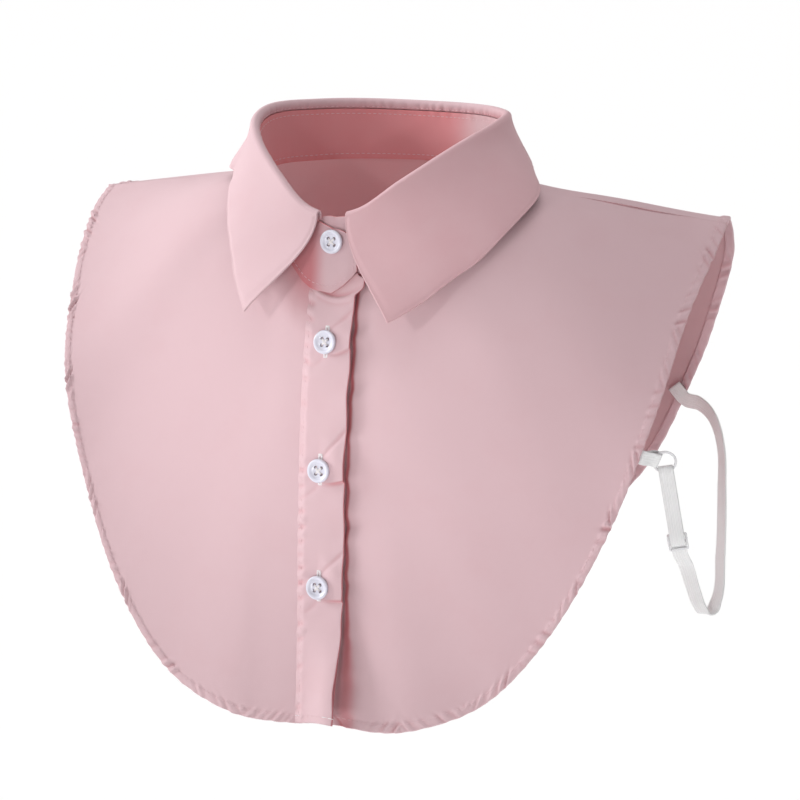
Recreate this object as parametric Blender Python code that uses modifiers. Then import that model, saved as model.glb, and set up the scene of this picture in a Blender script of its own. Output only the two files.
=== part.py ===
"""Detachable shirt collar in its worn form: a folded collar on a stand, a buttoned front bib,
a back bib, and an adjustable elastic strap at each side.

Metres, +Z up. The origin is on the neck's axis, level with the side of the neck seam.
-Y is the wearer's front and +X the wearer's left.
"""

import bmesh
import bpy
import numpy as np
from mathutils import Matrix, Vector

# Neck and collar
NECK_WIDTH = 0.123          # across the stand's middle layer
NECK_DEPTH = 0.090          # from centre front to centre back
NECK_FORWARD = 0.004        # neck centre in front of the origin
COLLAR_HEIGHT = 0.028       # neck seam to fold line
COLLAR_DROP = 0.043         # how much lower the centre front lies than the sides
SEAM_LEVEL = 0.009          # neck seam height at the sides
ROOT_DEPTH = 0.0045         # fold line down to the seam between leaf and stand
ROLL_RADIUS = 0.0018        # roll of the fold
LEAF_SPREAD = 0.0066        # centre front to each leaf's front end
STAND_CORNER = 0.013        # rounding of the stand's two top corners

# Bibs
BIB_WIDTH = 0.334           # across the shoulders
FRONT_LENGTH = 0.248        # origin level to the front's lowest point
BACK_LENGTH = 0.185         # origin level to the back's lowest point
CHEST_REACH = 0.066         # origin to the front's lowest point, along -Y
BACK_REACH = 0.073          # origin to the back's lowest point, along +Y
PLACKET_WIDTH = 0.0245
EDGE_LIFT = 0.0080          # how far the lapping front's free edge stands off at the hem
LIFT_START = 0.70           # share of the way down the front where it starts to stand off
HEM_WIDTH = 0.0045

# Cloth
CLOTH = 0.0010
HEM_THICKNESS = 0.0020
STAND_THICKNESS = 0.0018
LEAF_THICKNESS = 0.0015
PLACKET_THICKNESS = 0.0013
CLEARANCE = 0.0003          # between pieces that touch

# Buttons
BUTTON_DIAMETER = 0.0114
BUTTON_THICKNESS = 0.0024
BUTTON_HOLE = 0.0017
BUTTON_HOLE_PITCH = 0.0030
STAND_BUTTON_SHARE = 0.70   # up the stand at centre front
PLACKET_BUTTON_SHARES = (0.137, 0.422, 0.687)

# Elastic straps and their fittings
ELASTIC_WIDTH = 0.0068
ELASTIC_THICKNESS = 0.0009
RING_BORE = 0.0092
RING_WIRE = 0.0012
SLIDER_BAR = 0.0011
SLIDER_SLOT = 0.0028
SLIDER_THICKNESS = 0.0012
DOUBLED_LENGTH = 0.0432     # ring centre to slider centre
STRAP_DROP = 0.076          # ring centre to the bottom of the loop
TAB_LENGTH = 0.0145         # front edge to ring centre

FULL_TURN = 360.0

# Height of the neck seam: degrees round from centre front, share of COLLAR_DROP below the sides.
SEAM_ROWS = np.array([
    # angle, drop
    (0, 1.060), (12, 0.960), (30, 0.640), (60, 0.220), (90, 0.010), (130, -0.050), (180, -0.070),
])

# Height of the collar at the same angles, as shares of COLLAR_HEIGHT.
HEIGHT_ROWS = np.array([
    # angle, height
    (0, 1.060), (45, 1.020), (90, 1.010), (180, 0.953),
])

# The front bib as rays from neck seam to hem, centre front first. Edge columns are shares of half
# of BIB_WIDTH, CHEST_REACH and FRONT_LENGTH; the two swell columns are shares of CHEST_REACH.
FRONT_RAYS = np.array([
    # row, neck angle, edge x, edge y, edge z, swell y, swell z
    (0, 0, 0.000, -1.000, -1.000, -0.090, 0.000),
    (1, 11, 0.077, -1.002, -1.004, -0.090, 0.000),
    (2, 19, 0.287, -1.025, -0.995, -0.095, 0.005),
    (3, 29, 0.517, -0.931, -0.928, -0.105, 0.010),
    (4, 41, 0.703, -0.822, -0.782, -0.115, 0.030),
    (5, 54, 0.848, -0.671, -0.586, -0.130, 0.060),
    (6, 66, 0.948, -0.515, -0.382, -0.130, 0.085),
    (7, 78, 0.990, -0.188, -0.200, -0.095, 0.080),
    (8, 87, 1.012, 0.148, -0.090, -0.040, 0.025),
    (9, 95, 1.006, 0.390, -0.038, 0.000, -0.020),
])

# The back bib's rays, shoulder first. Edge z is a share of BACK_LENGTH, edge y of BACK_REACH.
BACK_RAYS = np.array([
    # row, neck angle, edge x, edge y, edge z, swell y, swell z
    (0, 95, 1.006, 0.352, -0.051, 0.000, -0.018),
    (1, 102, 0.970, 0.597, -0.056, 0.030, -0.010),
    (2, 111, 0.961, 0.690, -0.150, 0.070, 0.020),
    (3, 121, 0.893, 0.777, -0.316, 0.110, 0.050),
    (4, 132, 0.814, 0.879, -0.461, 0.140, 0.060),
    (5, 144, 0.677, 0.890, -0.703, 0.165, 0.050),
    (6, 156, 0.509, 0.932, -0.854, 0.180, 0.030),
    (7, 168, 0.275, 0.973, -0.962, 0.185, 0.014),
    (8, 180, 0.000, 1.000, -1.000, 0.185, 0.000),
])
SHOULDER_ROW = FRONT_RAYS[-1, 0]

# The leaf's lower edge, front end first: where its fold starts round the neck, which bib ray it
# lies over, how far along the ray on the wearer's left and right, where it lies closer to the
# neck, and how far it stands off, as a share of COLLAR_HEIGHT.
LEAF_ROWS = np.array([
    # along, fold angle, bib row, left share, right share, stand-off
    (0.00, 6, 2.81, 0.165, 0.162, 0.650),
    (0.06, 13, 3.64, 0.173, 0.149, 0.440),
    (0.14, 25, 4.49, 0.185, 0.125, 0.290),
    (0.22, 38, 5.39, 0.220, 0.110, 0.205),
    (0.29, 50, 6.22, 0.244, 0.100, 0.195),
    (0.37, 64, 7.00, 0.262, 0.105, 0.190),
    (0.46, 79, 7.60, 0.245, 0.149, 0.205),
    (0.55, 94, 8.70, 0.172, 0.172, 0.205),
    (0.68, 118, 10.97, 0.100, 0.153, 0.240),
    (0.84, 150, 13.90, 0.074, 0.109, 0.215),
    (1.00, 180, 17.00, 0.082, 0.082, 0.120),
])

# The elastic's free run from below the slider to where it is sewn on the back bib: the share of
# the way from ring to sewn end, shares of STRAP_DROP below and outside the straight line between
# them, and the direction of its width.
STRAP_ROWS = [
    # across, down, out, width x, width y, width z
    (0.341, 0.790, 0.108, 0.95, 0.20, 0.15),
    (0.410, 0.961, 0.147, 1.00, 0.05, 0.05),
    (0.447, 1.069, 0.181, 1.00, 0.00, 0.00),
    (0.490, 1.131, 0.216, 1.00, -0.05, 0.00),
    (0.518, 1.124, 0.253, 0.98, -0.15, 0.00),
    (0.541, 1.061, 0.283, 0.92, -0.35, 0.00),
    (0.588, 0.794, 0.301, 0.87, -0.48, 0.05),
    (0.635, 0.402, 0.301, 0.80, -0.50, 0.30),
    (0.706, 0.178, 0.285, 0.65, -0.45, 0.60),
    (0.800, 0.048, 0.227, 0.45, -0.30, 0.85),
    (0.940, -0.013, 0.096, 0.25, -0.15, 0.95),
]
RIGHT_SIDE_OUT = (-0.20, 0.35)   # how far the right strap stands out at ring and back, share of the left
TAB_ROW = 5.65              # bib ray whose end carries the front tab
SEWN_ROW = 13.34            # bib ray whose end the elastic is sewn to at the back
SEWN_LENGTH = 0.0075        # elastic lying on the back bib
GRIP_LENGTH = 0.0032        # tab lying on the front bib's inner face
TAB_WAY = (0.48, 0.84, -0.23)        # from the front edge to the ring
HANG_WAY = (0.00, 0.35, -0.90)       # from the ring down the doubled elastic
HANG_WIDTH = (0.90, 0.33, 0.28)      # across the doubled elastic
RIGHT_TAB_WAY = (-0.15, 0.93, -0.30)
RIGHT_HANG_WAY = (-0.10, 0.32, -0.94)
RIGHT_HANG_WIDTH = (0.35, 0.85, 0.30)


def smooth(rows, column, at):
    """Value of a table's column at a place in its first column, on a curve through the rows."""
    places, values = rows[:, 0], rows[:, column]
    steps = np.diff(places)
    slopes = np.diff(values) / steps
    tangents = np.concatenate([slopes[:1], (slopes[:-1] * steps[1:] + slopes[1:] * steps[:-1])
                               / (steps[1:] + steps[:-1]), slopes[-1:]])
    at = min(max(at, places[0]), places[-1])
    index = min(int(np.searchsorted(places, at, side="right")) - 1, len(steps) - 1)
    share = (at - places[index]) / steps[index]
    first, last = values[index], values[index + 1]
    bend_in, bend_out = tangents[index] * steps[index], tangents[index + 1] * steps[index]
    return (first * (1 + 2 * share) * (1 - share) ** 2 + bend_in * share * (1 - share) ** 2
            + last * share ** 2 * (3 - 2 * share) - bend_out * share ** 2 * (1 - share))


def ease(value):
    """Smooth step from 0 to 1."""
    value = min(max(value, 0.0), 1.0)
    return value * value * (3 - 2 * value)


def unit(vector):
    return vector / np.linalg.norm(vector)


def neck_ring(angle):
    """Point of the neck line at this angle round from centre front, with z left at 0."""
    turn = np.radians(angle)
    return np.array([NECK_WIDTH / 2 * np.sin(turn), -NECK_FORWARD - NECK_DEPTH / 2 * np.cos(turn), 0])


def neck_outward(angle):
    turn = np.radians(angle)
    return unit(np.array([NECK_DEPTH * np.sin(turn), -NECK_WIDTH * np.cos(turn), 0]))


def from_front(angle):
    """The same place as 0 to 180 degrees from centre front, on either side."""
    angle = abs(angle) % FULL_TURN
    return min(angle, FULL_TURN - angle)


def seam_height(angle):
    return SEAM_LEVEL - COLLAR_DROP * smooth(SEAM_ROWS, 1, from_front(angle))


def collar_height(angle):
    return COLLAR_HEIGHT * smooth(HEIGHT_ROWS, 1, from_front(angle))


def neck_seam(angle):
    point = neck_ring(angle)
    point[2] = seam_height(angle)
    return point


def ray_point(neck_angle, edge, swell, share):
    """Point along one ray from the neck seam to the hem, swelled outwards over its first half."""
    start = neck_seam(neck_angle)
    start[2] -= CLEARANCE + HEM_THICKNESS / 2
    return start + (edge - start) * share + swell * 6.75 * share * (1 - share) ** 2


def bib_point(row, share):
    """Point of the bib's middle surface on the wearer's left: rows 0 to 9 front, 9 to 17 back."""
    if row <= SHOULDER_ROW:
        rays, reach, length, at = FRONT_RAYS, CHEST_REACH, FRONT_LENGTH, row
    else:
        rays, reach, length, at = BACK_RAYS, BACK_REACH, BACK_LENGTH, row - SHOULDER_ROW
    angle, x, y, z, swell_y, swell_z = (smooth(rays, column, at) for column in range(1, 7))
    edge = np.array([x * BIB_WIDTH / 2, y * reach, z * length])
    return ray_point(angle, edge, np.array([0, swell_y * reach, swell_z * reach]), share)


def bib_normal(row, share):
    """Outward direction of the bib there."""
    step = 0.02
    low, high = max(share - step, 0), min(share + step, 1)
    along = bib_point(row, high) - bib_point(row, low)
    across = bib_point(min(row + step, 17), share) - bib_point(max(row - step, 0), share)
    return unit(np.cross(along, across))


def strip_point(x, share, off):
    """Point of the centre front, x to the wearer's left and off outwards, for the placket's layers."""
    middle, side = bib_point(0, share), bib_point(1, share)
    part = x / side[0]
    point = middle + (side - middle) * part ** 2
    point[0] = x
    normal = bib_normal(0.5, share)
    normal[0] = 0
    return point + unit(normal) * off


def edge_lift(x, share):
    """How far the lapping front and its placket stand off the bib, most at the lower free corner."""
    low = ease((share - LIFT_START) / (1 - LIFT_START))
    return EDGE_LIFT * low * ease(x / PLACKET_WIDTH + 0.5)


def material(name, colour, roughness):
    made = bpy.data.materials.new(name)
    made.use_nodes = True
    shader = made.node_tree.nodes["Principled BSDF"]
    shader.inputs["Base Color"].default_value = (*colour, 1)
    shader.inputs["Roughness"].default_value = roughness
    shader.inputs["Metallic"].default_value = 0
    made.diffuse_color = (*colour, 1)
    return made


def finish_mesh(name, shape, look, collection, parent):
    mesh = bpy.data.meshes.new(name)
    shape.to_mesh(mesh)
    shape.free()
    mesh.materials.append(look)
    mesh.shade_smooth()
    made = bpy.data.objects.new(name, mesh)
    collection.objects.link(made)
    made.parent = parent
    return made


def sheet(name, columns, rows, place, thickness, look, collection, parent, weight=None):
    """A wall: a grid laid out by place(u, v) and thickened evenly about its middle surface."""
    shape = bmesh.new()
    bmesh.ops.create_grid(shape, x_segments=columns, y_segments=rows, size=0.5)
    weights = {}
    for vertex in shape.verts:
        u, v = vertex.co.x + 0.5, vertex.co.y + 0.5
        vertex.co = Vector(place(u, v))
        weights[vertex.index] = weight(u, v) if weight else 1.0
    made = finish_mesh(name, shape, look, collection, parent)
    if weight:
        group = made.vertex_groups.new(name="thickness")
        for index, value in weights.items():
            group.add([index], value, "REPLACE")
    wall = made.modifiers.new("Wall", "SOLIDIFY")
    wall.thickness = thickness
    wall.offset = 0
    wall.use_even_offset = True
    if weight:
        wall.vertex_group = "thickness"
    return made


OVERLAP = PLACKET_WIDTH / 2 - 2 * CLEARANCE
LAYER_STEP = CLOTH + CLEARANCE
STRIP_SHARE = 0.2


def ray_share(v, rows, row):
    """Places along a ray: even, then the last step over the hem's width."""
    length = np.linalg.norm(bib_point(row, 1) - bib_point(row, 0))
    hem = HEM_WIDTH / length
    last = 1 / rows
    return v / (1 - last) * (1 - hem) if v < 1 - last / 2 else 1.0


def front_lift(x):
    """How far the upper front stands off the lower one, x towards its own shoulder."""
    return LAYER_STEP * (1 - ease((x - OVERLAP - 2 * CLEARANCE) / PLACKET_WIDTH))


def front_place(side, rows):
    """The place function of one front: side -1 is the wearer's right, which laps over the left."""
    def place(u, v):
        if u <= STRIP_SHARE:
            x = -OVERLAP + (OVERLAP + bib_point(1, 0.5)[0]) * u / STRIP_SHARE
            share = ray_share(v, rows, 0.5)
            off = front_lift(x) + edge_lift(-x, share) if side < 0 else 0.0
            return strip_point(side * x, share, off)
        row = 1 + (SHOULDER_ROW - 1) * (u - STRIP_SHARE) / (1 - STRIP_SHARE)
        seam = CLEARANCE / 2 / (BIB_WIDTH / 2) * SHOULDER_ROW
        row = min(row, SHOULDER_ROW - seam * 6)
        share = ray_share(v, rows, row)
        point = bib_point(row, share)
        if side < 0:
            point = point + bib_normal(row, share) * front_lift(point[0])
        point[0] *= side
        return point
    return place


def hem_weight(rows, hem_from=0.0):
    """Thick along the hem, thin elsewhere and where the two fronts lap."""
    def weight(u, v):
        return 1.0 if v > 1 - 1.5 / rows and u >= hem_from else CLOTH / HEM_THICKNESS
    return weight


def back_place(rows):
    def place(u, v):
        part = abs(2 * u - 1)
        seam = CLEARANCE / 2 / (BIB_WIDTH / 2) * SHOULDER_ROW
        row = 17 - (17 - SHOULDER_ROW) * part
        row = max(row, SHOULDER_ROW + seam * 6)
        point = bib_point(row, ray_share(v, rows, row))
        point[0] *= 1 if u > 0.5 else -1
        return point
    return place


def stand_lift(angle):
    """Outward shift of the stand: its right end, at angles above -40, laps over its left end."""
    return (STAND_THICKNESS + CLEARANCE) * (1 - ease((-angle - 14) / 30))


def stand_ends():
    end = np.degrees(np.arcsin(OVERLAP / (NECK_WIDTH / 2)))
    return end, -FULL_TURN - end


def stand_point(angle, v):
    """Point of the stand's middle layer, v from its lower to its upper edge."""
    first, last = stand_ends()
    from_end = np.radians(min(first - angle, angle - last)) * NECK_WIDTH / 2
    height = collar_height(angle) - ROOT_DEPTH
    inset = max(STAND_CORNER - from_end, 0.0)
    height -= STAND_CORNER - np.sqrt(STAND_CORNER ** 2 - inset ** 2)
    point = neck_ring(angle) + neck_outward(angle) * stand_lift(angle)
    point[2] = seam_height(angle) + height * v
    return point


def leaf_crest(angle):
    """Where the leaf is sewn to the stand: just above the stand's top edge."""
    point = neck_ring(angle) + neck_outward(angle) * stand_lift(angle)
    point[2] = seam_height(angle) + collar_height(angle)
    return point


def leaf_place(u, v):
    """u from the wearer's right front end round the back to the left; v from root to lower edge."""
    along = 1 - abs(2 * u - 1)
    side = -1 if u < 0.5 else 1
    fold, row, left, right, off = (smooth(LEAF_ROWS, column, along) for column in range(1, 6))
    share = right if side < 0 else left
    first = np.degrees(np.arcsin(LEAF_SPREAD / (NECK_WIDTH / 2)))
    fold = max(fold, first)
    angle = -fold if side < 0 else fold - FULL_TURN
    crest, outward = leaf_crest(angle), neck_outward(angle)
    up = np.array([0, 0, 1.0])
    roll_end = 0.16
    if v <= 0.06:
        return crest - up * (ROOT_DEPTH - CLEARANCE) * (1 - v / 0.06) - up * ROLL_RADIUS * v / 0.06
    if v <= roll_end:
        turn = np.pi * (v - 0.06) / (roll_end - 0.06)
        return (crest + outward * ROLL_RADIUS * (1 - np.cos(turn))
                - up * ROLL_RADIUS * (1 - np.sin(turn)))
    start = crest + outward * 2 * ROLL_RADIUS - up * ROLL_RADIUS
    end = bib_point(row, share) + bib_normal(row, share) * off * COLLAR_HEIGHT
    end[0] *= side
    along_fall = (v - roll_end) / (1 - roll_end)
    reach = np.linalg.norm(end - start)
    bow_start = start - up * reach * 0.30 + outward * reach * 0.04
    bow_end = end + (start - end) * 0.30 + outward * reach * 0.02
    rest = 1 - along_fall
    return (start * rest ** 3 + bow_start * 3 * rest ** 2 * along_fall
            + bow_end * 3 * rest * along_fall ** 2 + end * along_fall ** 3)


def placket_off(x, share):
    """How far the placket's middle lies out from the bib, with the small waves of its two edges."""
    edge = abs(x) / (PLACKET_WIDTH / 2)
    wave = 0.5 + 0.5 * np.sin(share * FRONT_LENGTH / PLACKET_WIDTH * 2 * np.pi + (x > 0) * 2.0)
    base = LAYER_STEP + CLOTH / 2 + PLACKET_THICKNESS / 2 + CLEARANCE
    return base + PLACKET_THICKNESS * 0.5 * wave * edge ** 3 + edge_lift(x, share)


def placket_place(u, v):
    x = (2 * u - 1) * PLACKET_WIDTH / 2
    return strip_point(x, v, placket_off(x, v))


def lathe(name, profile, look, collection, parent, steps):
    """A turned solid about Z from a closed profile of (radius, height) points."""
    shape = bmesh.new()
    dots = [shape.verts.new((radius, 0, height)) for radius, height in profile]
    for first, second in zip(dots, dots[1:]):
        shape.edges.new((first, second))
    made = finish_mesh(name, shape, look, collection, parent)
    turn = made.modifiers.new("Turn", "SCREW")
    turn.steps = steps
    turn.render_steps = steps
    turn.use_merge_vertices = True
    turn.merge_threshold = 0.00001
    turn.use_normal_calculate = True
    return made


def button_holes(cutters):
    """One cutter of four round pegs, shared by all the buttons."""
    shape = bmesh.new()
    for x in (-1, 1):
        for y in (-1, 1):
            place = Matrix.Translation((x * BUTTON_HOLE_PITCH / 2, y * BUTTON_HOLE_PITCH / 2, 0))
            bmesh.ops.create_cone(shape, cap_ends=True, segments=6, radius1=BUTTON_HOLE / 2,
                                  radius2=BUTTON_HOLE / 2, depth=BUTTON_THICKNESS * 4, matrix=place)
    mesh = bpy.data.meshes.new("button_holes")
    shape.to_mesh(mesh)
    shape.free()
    return mesh


def button(name, place, holes, look, collection, cutters, parent):
    radius, thick = BUTTON_DIAMETER / 2, BUTTON_THICKNESS
    profile = [(0, thick * 0.60), (radius * 0.62, thick * 0.60), (radius * 0.76, thick),
               (radius * 0.90, thick), (radius, thick * 0.70), (radius, thick * 0.35),
               (radius * 0.80, 0), (0, 0)]
    made = lathe(name, profile, look, collection, parent, 20)
    made.matrix_world = place
    pegs = bpy.data.objects.new(name + "_holes", holes)
    cutters.objects.link(pegs)
    pegs.matrix_world = place
    pegs.hide_render = True
    pegs.display_type = "WIRE"
    cut = made.modifiers.new("Holes", "BOOLEAN")
    cut.object = pegs
    return made


def facing(point, normal, up=(0, 0, 1)):
    """A placement at point whose local Z is the normal and whose local Y leans to up."""
    z = Vector(normal).normalized()
    x = Vector(up).cross(z).normalized()
    y = z.cross(x)
    made = Matrix((x, y, z)).transposed().to_4x4()
    made.translation = Vector(point)
    return made


def ribbon(name, stations, width, look, collection, parent):
    """A flat strip through stations of (centre, width direction)."""
    def place(u, v):
        at = v * (len(stations) - 1)
        centre, across = stations[int(round(at))]
        return centre + across * (u - 0.5) * width
    return sheet(name, 2, len(stations) - 1, place, ELASTIC_THICKNESS, look, collection, parent)


def curve_through(points, spacing):
    """The rows of numbers and, between rows that lie far apart, more from a smooth curve."""
    points = np.array(points, float)
    runs = np.linalg.norm(np.diff(points[:, :3], axis=0), axis=1)
    places = np.concatenate([[0], np.cumsum(runs)])
    rows = np.column_stack([places, points])
    at = [places[0]]
    for low, high in zip(places, places[1:]):
        parts = max(int(np.ceil((high - low) / spacing)), 1)
        at += [low + (high - low) * (part + 1) / parts for part in range(parts)]
    return [np.array([smooth(rows, column, place) for column in range(1, rows.shape[1])])
            for place in at]


def mirrored(vector, side):
    return np.array([vector[0] * side, vector[1], vector[2]])


def right_out(share):
    """How far the right strap stands out along its loop, as a share of the left one's."""
    at_ring, at_back = RIGHT_SIDE_OUT
    return at_ring + (at_back - at_ring) * ease(share)


def strap_plan(side):
    """Centre of one side's ring and the directions of its fittings, drawn for the left side."""
    ways = (TAB_WAY, HANG_WAY, HANG_WIDTH)
    if side < 0:
        ways = (RIGHT_TAB_WAY, RIGHT_HANG_WAY, RIGHT_HANG_WIDTH)
    tab, hang, width = (unit(np.array(way)) for way in ways)
    width = unit(width - hang * (width @ hang))
    ring = bib_point(TAB_ROW, 1.0) + tab * TAB_LENGTH
    return ring, hang, width, np.cross(hang, width)


def strap_layout(side):
    ring, down, width, front = strap_plan(side)
    return {
        "ring": mirrored(ring, side),
        "slider": mirrored(ring + down * DOUBLED_LENGTH, side),
        "down": mirrored(down, side),
        "width": mirrored(width, side),
        "front": mirrored(front, side),
    }


def layer_offset():
    """Half the distance between the two layers that pass a ring's wire."""
    return RING_WIRE / 2 + CLEARANCE * 1.7 + ELASTIC_THICKNESS / 2


def ring_turn():
    """Distance from the ring's centre to the middle of a fold round its wire."""
    wire = RING_BORE / 2 + RING_WIRE / 2
    narrow = np.sqrt(wire ** 2 - (ELASTIC_WIDTH / 2) ** 2)
    return narrow - RING_WIRE / 2 - CLEARANCE - ELASTIC_THICKNESS / 2 + layer_offset()


def strap_stations(side):
    """The elastic from its sewn end over the slider, up through the ring, down and round to the back."""
    layout = strap_layout(side)
    off, turn = layer_offset(), ring_turn()
    cross = SLIDER_THICKNESS / 2 + CLEARANCE * 1.5 + ELASTIC_THICKNESS / 2
    above = cross + ELASTIC_THICKNESS + CLEARANCE * 1.5
    bar, pitch = SLIDER_BAR / 2, SLIDER_BAR + SLIDER_SLOT
    middle = DOUBLED_LENGTH
    path = [(middle - bar, above), (middle - pitch, above), (middle - pitch * 2, (above + off) / 2),
            (middle - pitch * 3, off), (middle / 2, off), (turn * 2, off), (turn, off)]
    path += [(turn - off * np.sin(bend), off * np.cos(bend))
             for bend in np.radians((30, 60, 90, 120, 150))]
    path += [(turn, -off), (turn * 2, -off), (middle / 2, -off), (middle - pitch * 2, -cross),
             (middle - pitch - bar, -cross), (middle - pitch + bar, -cross), (middle - bar, cross),
             (middle + bar, cross), (middle + pitch - bar, -cross), (middle + pitch + bar, -cross)]
    width = layout["width"]
    rows = [np.concatenate([layout["ring"] + layout["down"] * d + layout["front"] * t, width])
            for d, t in path]
    sewn = mirrored(sewn_point(-HEM_THICKNESS), side)
    across = sewn - layout["ring"]
    for share, down, out, *lean in STRAP_ROWS:
        out_share = 1 if side > 0 else right_out(share)
        place = layout["ring"] + across * share
        place = place + STRAP_DROP * np.array([side * out * out_share, 0, -down])
        rows.append(np.concatenate([place, mirrored(np.array(lean), side)]))
    edge_way = mirrored(hem_way(SEWN_ROW), side)
    for inset in (0.0, SEWN_LENGTH / 2, SEWN_LENGTH):
        rows.append(np.concatenate([mirrored(sewn_point(inset), side), edge_way]))
    return rows


def edge_point(row, inset):
    """Point this far in from a bib's edge along its ray, or past the edge where inset is below 0."""
    length = np.linalg.norm(bib_point(row, 1) - bib_point(row, 0))
    if inset >= 0:
        return bib_point(row, 1 - inset / length)
    edge = bib_point(row, 1)
    return edge - unit(edge - bib_point(row, 1 - HEM_WIDTH / length)) * inset


def hem_way(row):
    """Direction along a bib's edge, upwards."""
    way = unit(bib_point(row + 0.05, 1) - bib_point(row - 0.05, 1))
    return way if way[2] > 0 else -way


def sewn_point(inset):
    """Middle of the elastic on the back bib's inner face, this far in from the edge."""
    off = HEM_THICKNESS / 2 + CLEARANCE * 1.8 + ELASTIC_THICKNESS / 2
    return edge_point(SEWN_ROW, inset) - bib_normal(SEWN_ROW, 1) * off


def tab_stations(side):
    """The short folded elastic that holds the ring, both layers behind the front bib's hem."""
    ring, down, width, front = strap_plan(side)
    out = unit(-width * 0.87 - down * 0.50)
    across = np.cross(front, out)
    off, turn = layer_offset(), ring_turn()
    normal = bib_normal(TAB_ROW, 1)
    near = HEM_THICKNESS / 2 + CLEARANCE * 2.2 + ELASTIC_THICKNESS / 2
    far = near + ELASTIC_THICKNESS + CLEARANCE * 1.7
    hem = hem_way(TAB_ROW)
    hem = hem if hem @ across > 0 else -hem
    over = unit(np.cross(hem, normal))
    over = over if over @ out < 0 else -over
    edge = bib_point(TAB_ROW, 1.0)
    rows = []
    for layer, depth in ((1, near), (-1, far)):
        side_rows = [
            (edge - normal * depth - over * GRIP_LENGTH, hem),
            (edge - normal * depth, hem),
            (ring + out * turn * 1.15 + front * off * layer, across),
        ]
        rows += side_rows if layer > 0 else side_rows[::-1]
        if layer > 0:
            rows += [(ring + out * (turn - off * np.sin(bend)) + front * off * np.cos(bend),
                      across) for bend in np.radians((0, 30, 60, 90, 120, 150, 180))]
    return [np.concatenate([mirrored(place, side), mirrored(wide, side)]) for place, wide in rows]


def stations_of(rows, spacing):
    """Stations along a smooth curve through the rows, with the width kept square to the run."""
    dots = curve_through(rows, spacing)
    made = []
    for index, dot in enumerate(dots):
        run = unit(dots[min(index + 1, len(dots) - 1)][:3] - dots[max(index - 1, 0)][:3])
        wide = dot[3:] - run * (dot[3:] @ run)
        made.append((dot[:3], unit(wide)))
    return made


def frame_at(point, x, z):
    """A placement with local X and Z along these directions."""
    z = Vector(unit(np.array(z)))
    x = Vector(unit(np.array(x)))
    y = z.cross(x)
    made = Matrix((x, y, z)).transposed().to_4x4()
    made.translation = Vector(point)
    return made


def ring(name, place, look, collection, parent):
    bpy.ops.mesh.primitive_torus_add(
        major_radius=(RING_BORE + RING_WIRE) / 2, minor_radius=RING_WIRE / 2,
        major_segments=20, minor_segments=6)
    made = bpy.context.active_object
    made.name = name
    made.data.materials.append(look)
    made.data.shade_smooth()
    for owner in list(made.users_collection):
        owner.objects.unlink(made)
    collection.objects.link(made)
    made.parent = parent
    made.matrix_world = place
    return made


def slider(name, place, look, collection, parent):
    """A flat frame with two slots either side of a middle bar."""
    curve = bpy.data.curves.new(name, "CURVE")
    curve.dimensions = "2D"
    curve.fill_mode = "BOTH"
    curve.extrude = SLIDER_THICKNESS / 2
    slot_x = ELASTIC_WIDTH / 2 + CLEARANCE
    outer_x, outer_y = slot_x + SLIDER_BAR, SLIDER_SLOT + SLIDER_BAR * 1.5
    middle = (SLIDER_SLOT + SLIDER_BAR) / 2
    for half_x, half_y, y in ((outer_x, outer_y, 0), (slot_x, SLIDER_SLOT / 2, middle),
                              (slot_x, SLIDER_SLOT / 2, -middle)):
        spline = curve.splines.new("POLY")
        spline.points.add(3)
        spline.use_cyclic_u = True
        for dot, (sx, sy) in zip(spline.points, ((-1, -1), (1, -1), (1, 1), (-1, 1))):
            dot.co = (half_x * sx, y + half_y * sy, 0, 1)
    curve.materials.append(look)
    made = bpy.data.objects.new(name, curve)
    collection.objects.link(made)
    made.parent = parent
    made.matrix_world = place
    return made


def fittings(side, word, looks, collection, parent):
    layout = strap_layout(side)
    ribbon("strap_" + word, stations_of(strap_stations(side), 0.0055), ELASTIC_WIDTH,
           looks["elastic"], collection, parent)
    ribbon("tab_" + word, stations_of(tab_stations(side), 0.0020), ELASTIC_WIDTH,
           looks["elastic"], collection, parent)
    front = layout["front"]
    ring("ring_" + word, frame_at(layout["ring"], layout["width"], front),
         looks["fitting"], collection, parent)
    slider("slider_" + word, frame_at(layout["slider"], layout["width"], front),
           looks["fitting"], collection, parent)


def cloth_pieces(looks, collection, parent):
    cotton = looks["cotton"]
    rows = 12
    for side, word in ((-1, "right"), (1, "left")):
        sheet("front_" + word, 20, rows, front_place(side, rows), HEM_THICKNESS, cotton,
              collection, parent, hem_weight(rows, STRIP_SHARE + 0.02))
    sheet("back_bib", 32, rows, back_place(rows), HEM_THICKNESS, cotton, collection, parent,
          hem_weight(rows))
    sheet("placket", 4, 32, placket_place, PLACKET_THICKNESS, cotton, collection, parent)
    first, last = stand_ends()
    sheet("collar_stand", 68, 3, lambda u, v: stand_point(first + (last - first) * u, v),
          STAND_THICKNESS, cotton, collection, parent)
    sheet("collar_leaf", 56, 12, leaf_place, LEAF_THICKNESS, cotton, collection, parent)


def buttons(looks, collection, cutters, parent):
    holes = button_holes(cutters)
    half = STAND_THICKNESS / 2 + CLEARANCE
    point = stand_point(0, STAND_BUTTON_SHARE)
    normal = neck_outward(0)
    button("button_1", facing(point + normal * half, normal), holes, looks["button"], collection,
           cutters, parent)
    for number, share in enumerate(PLACKET_BUTTON_SHARES, 2):
        off = placket_off(0, share) + PLACKET_THICKNESS / 2 + CLEARANCE
        point = strip_point(0, share, off)
        normal = unit(point - strip_point(0, share, 0))
        button("button_%d" % number, facing(point, normal), holes, looks["button"], collection,
               cutters, parent)


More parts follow.
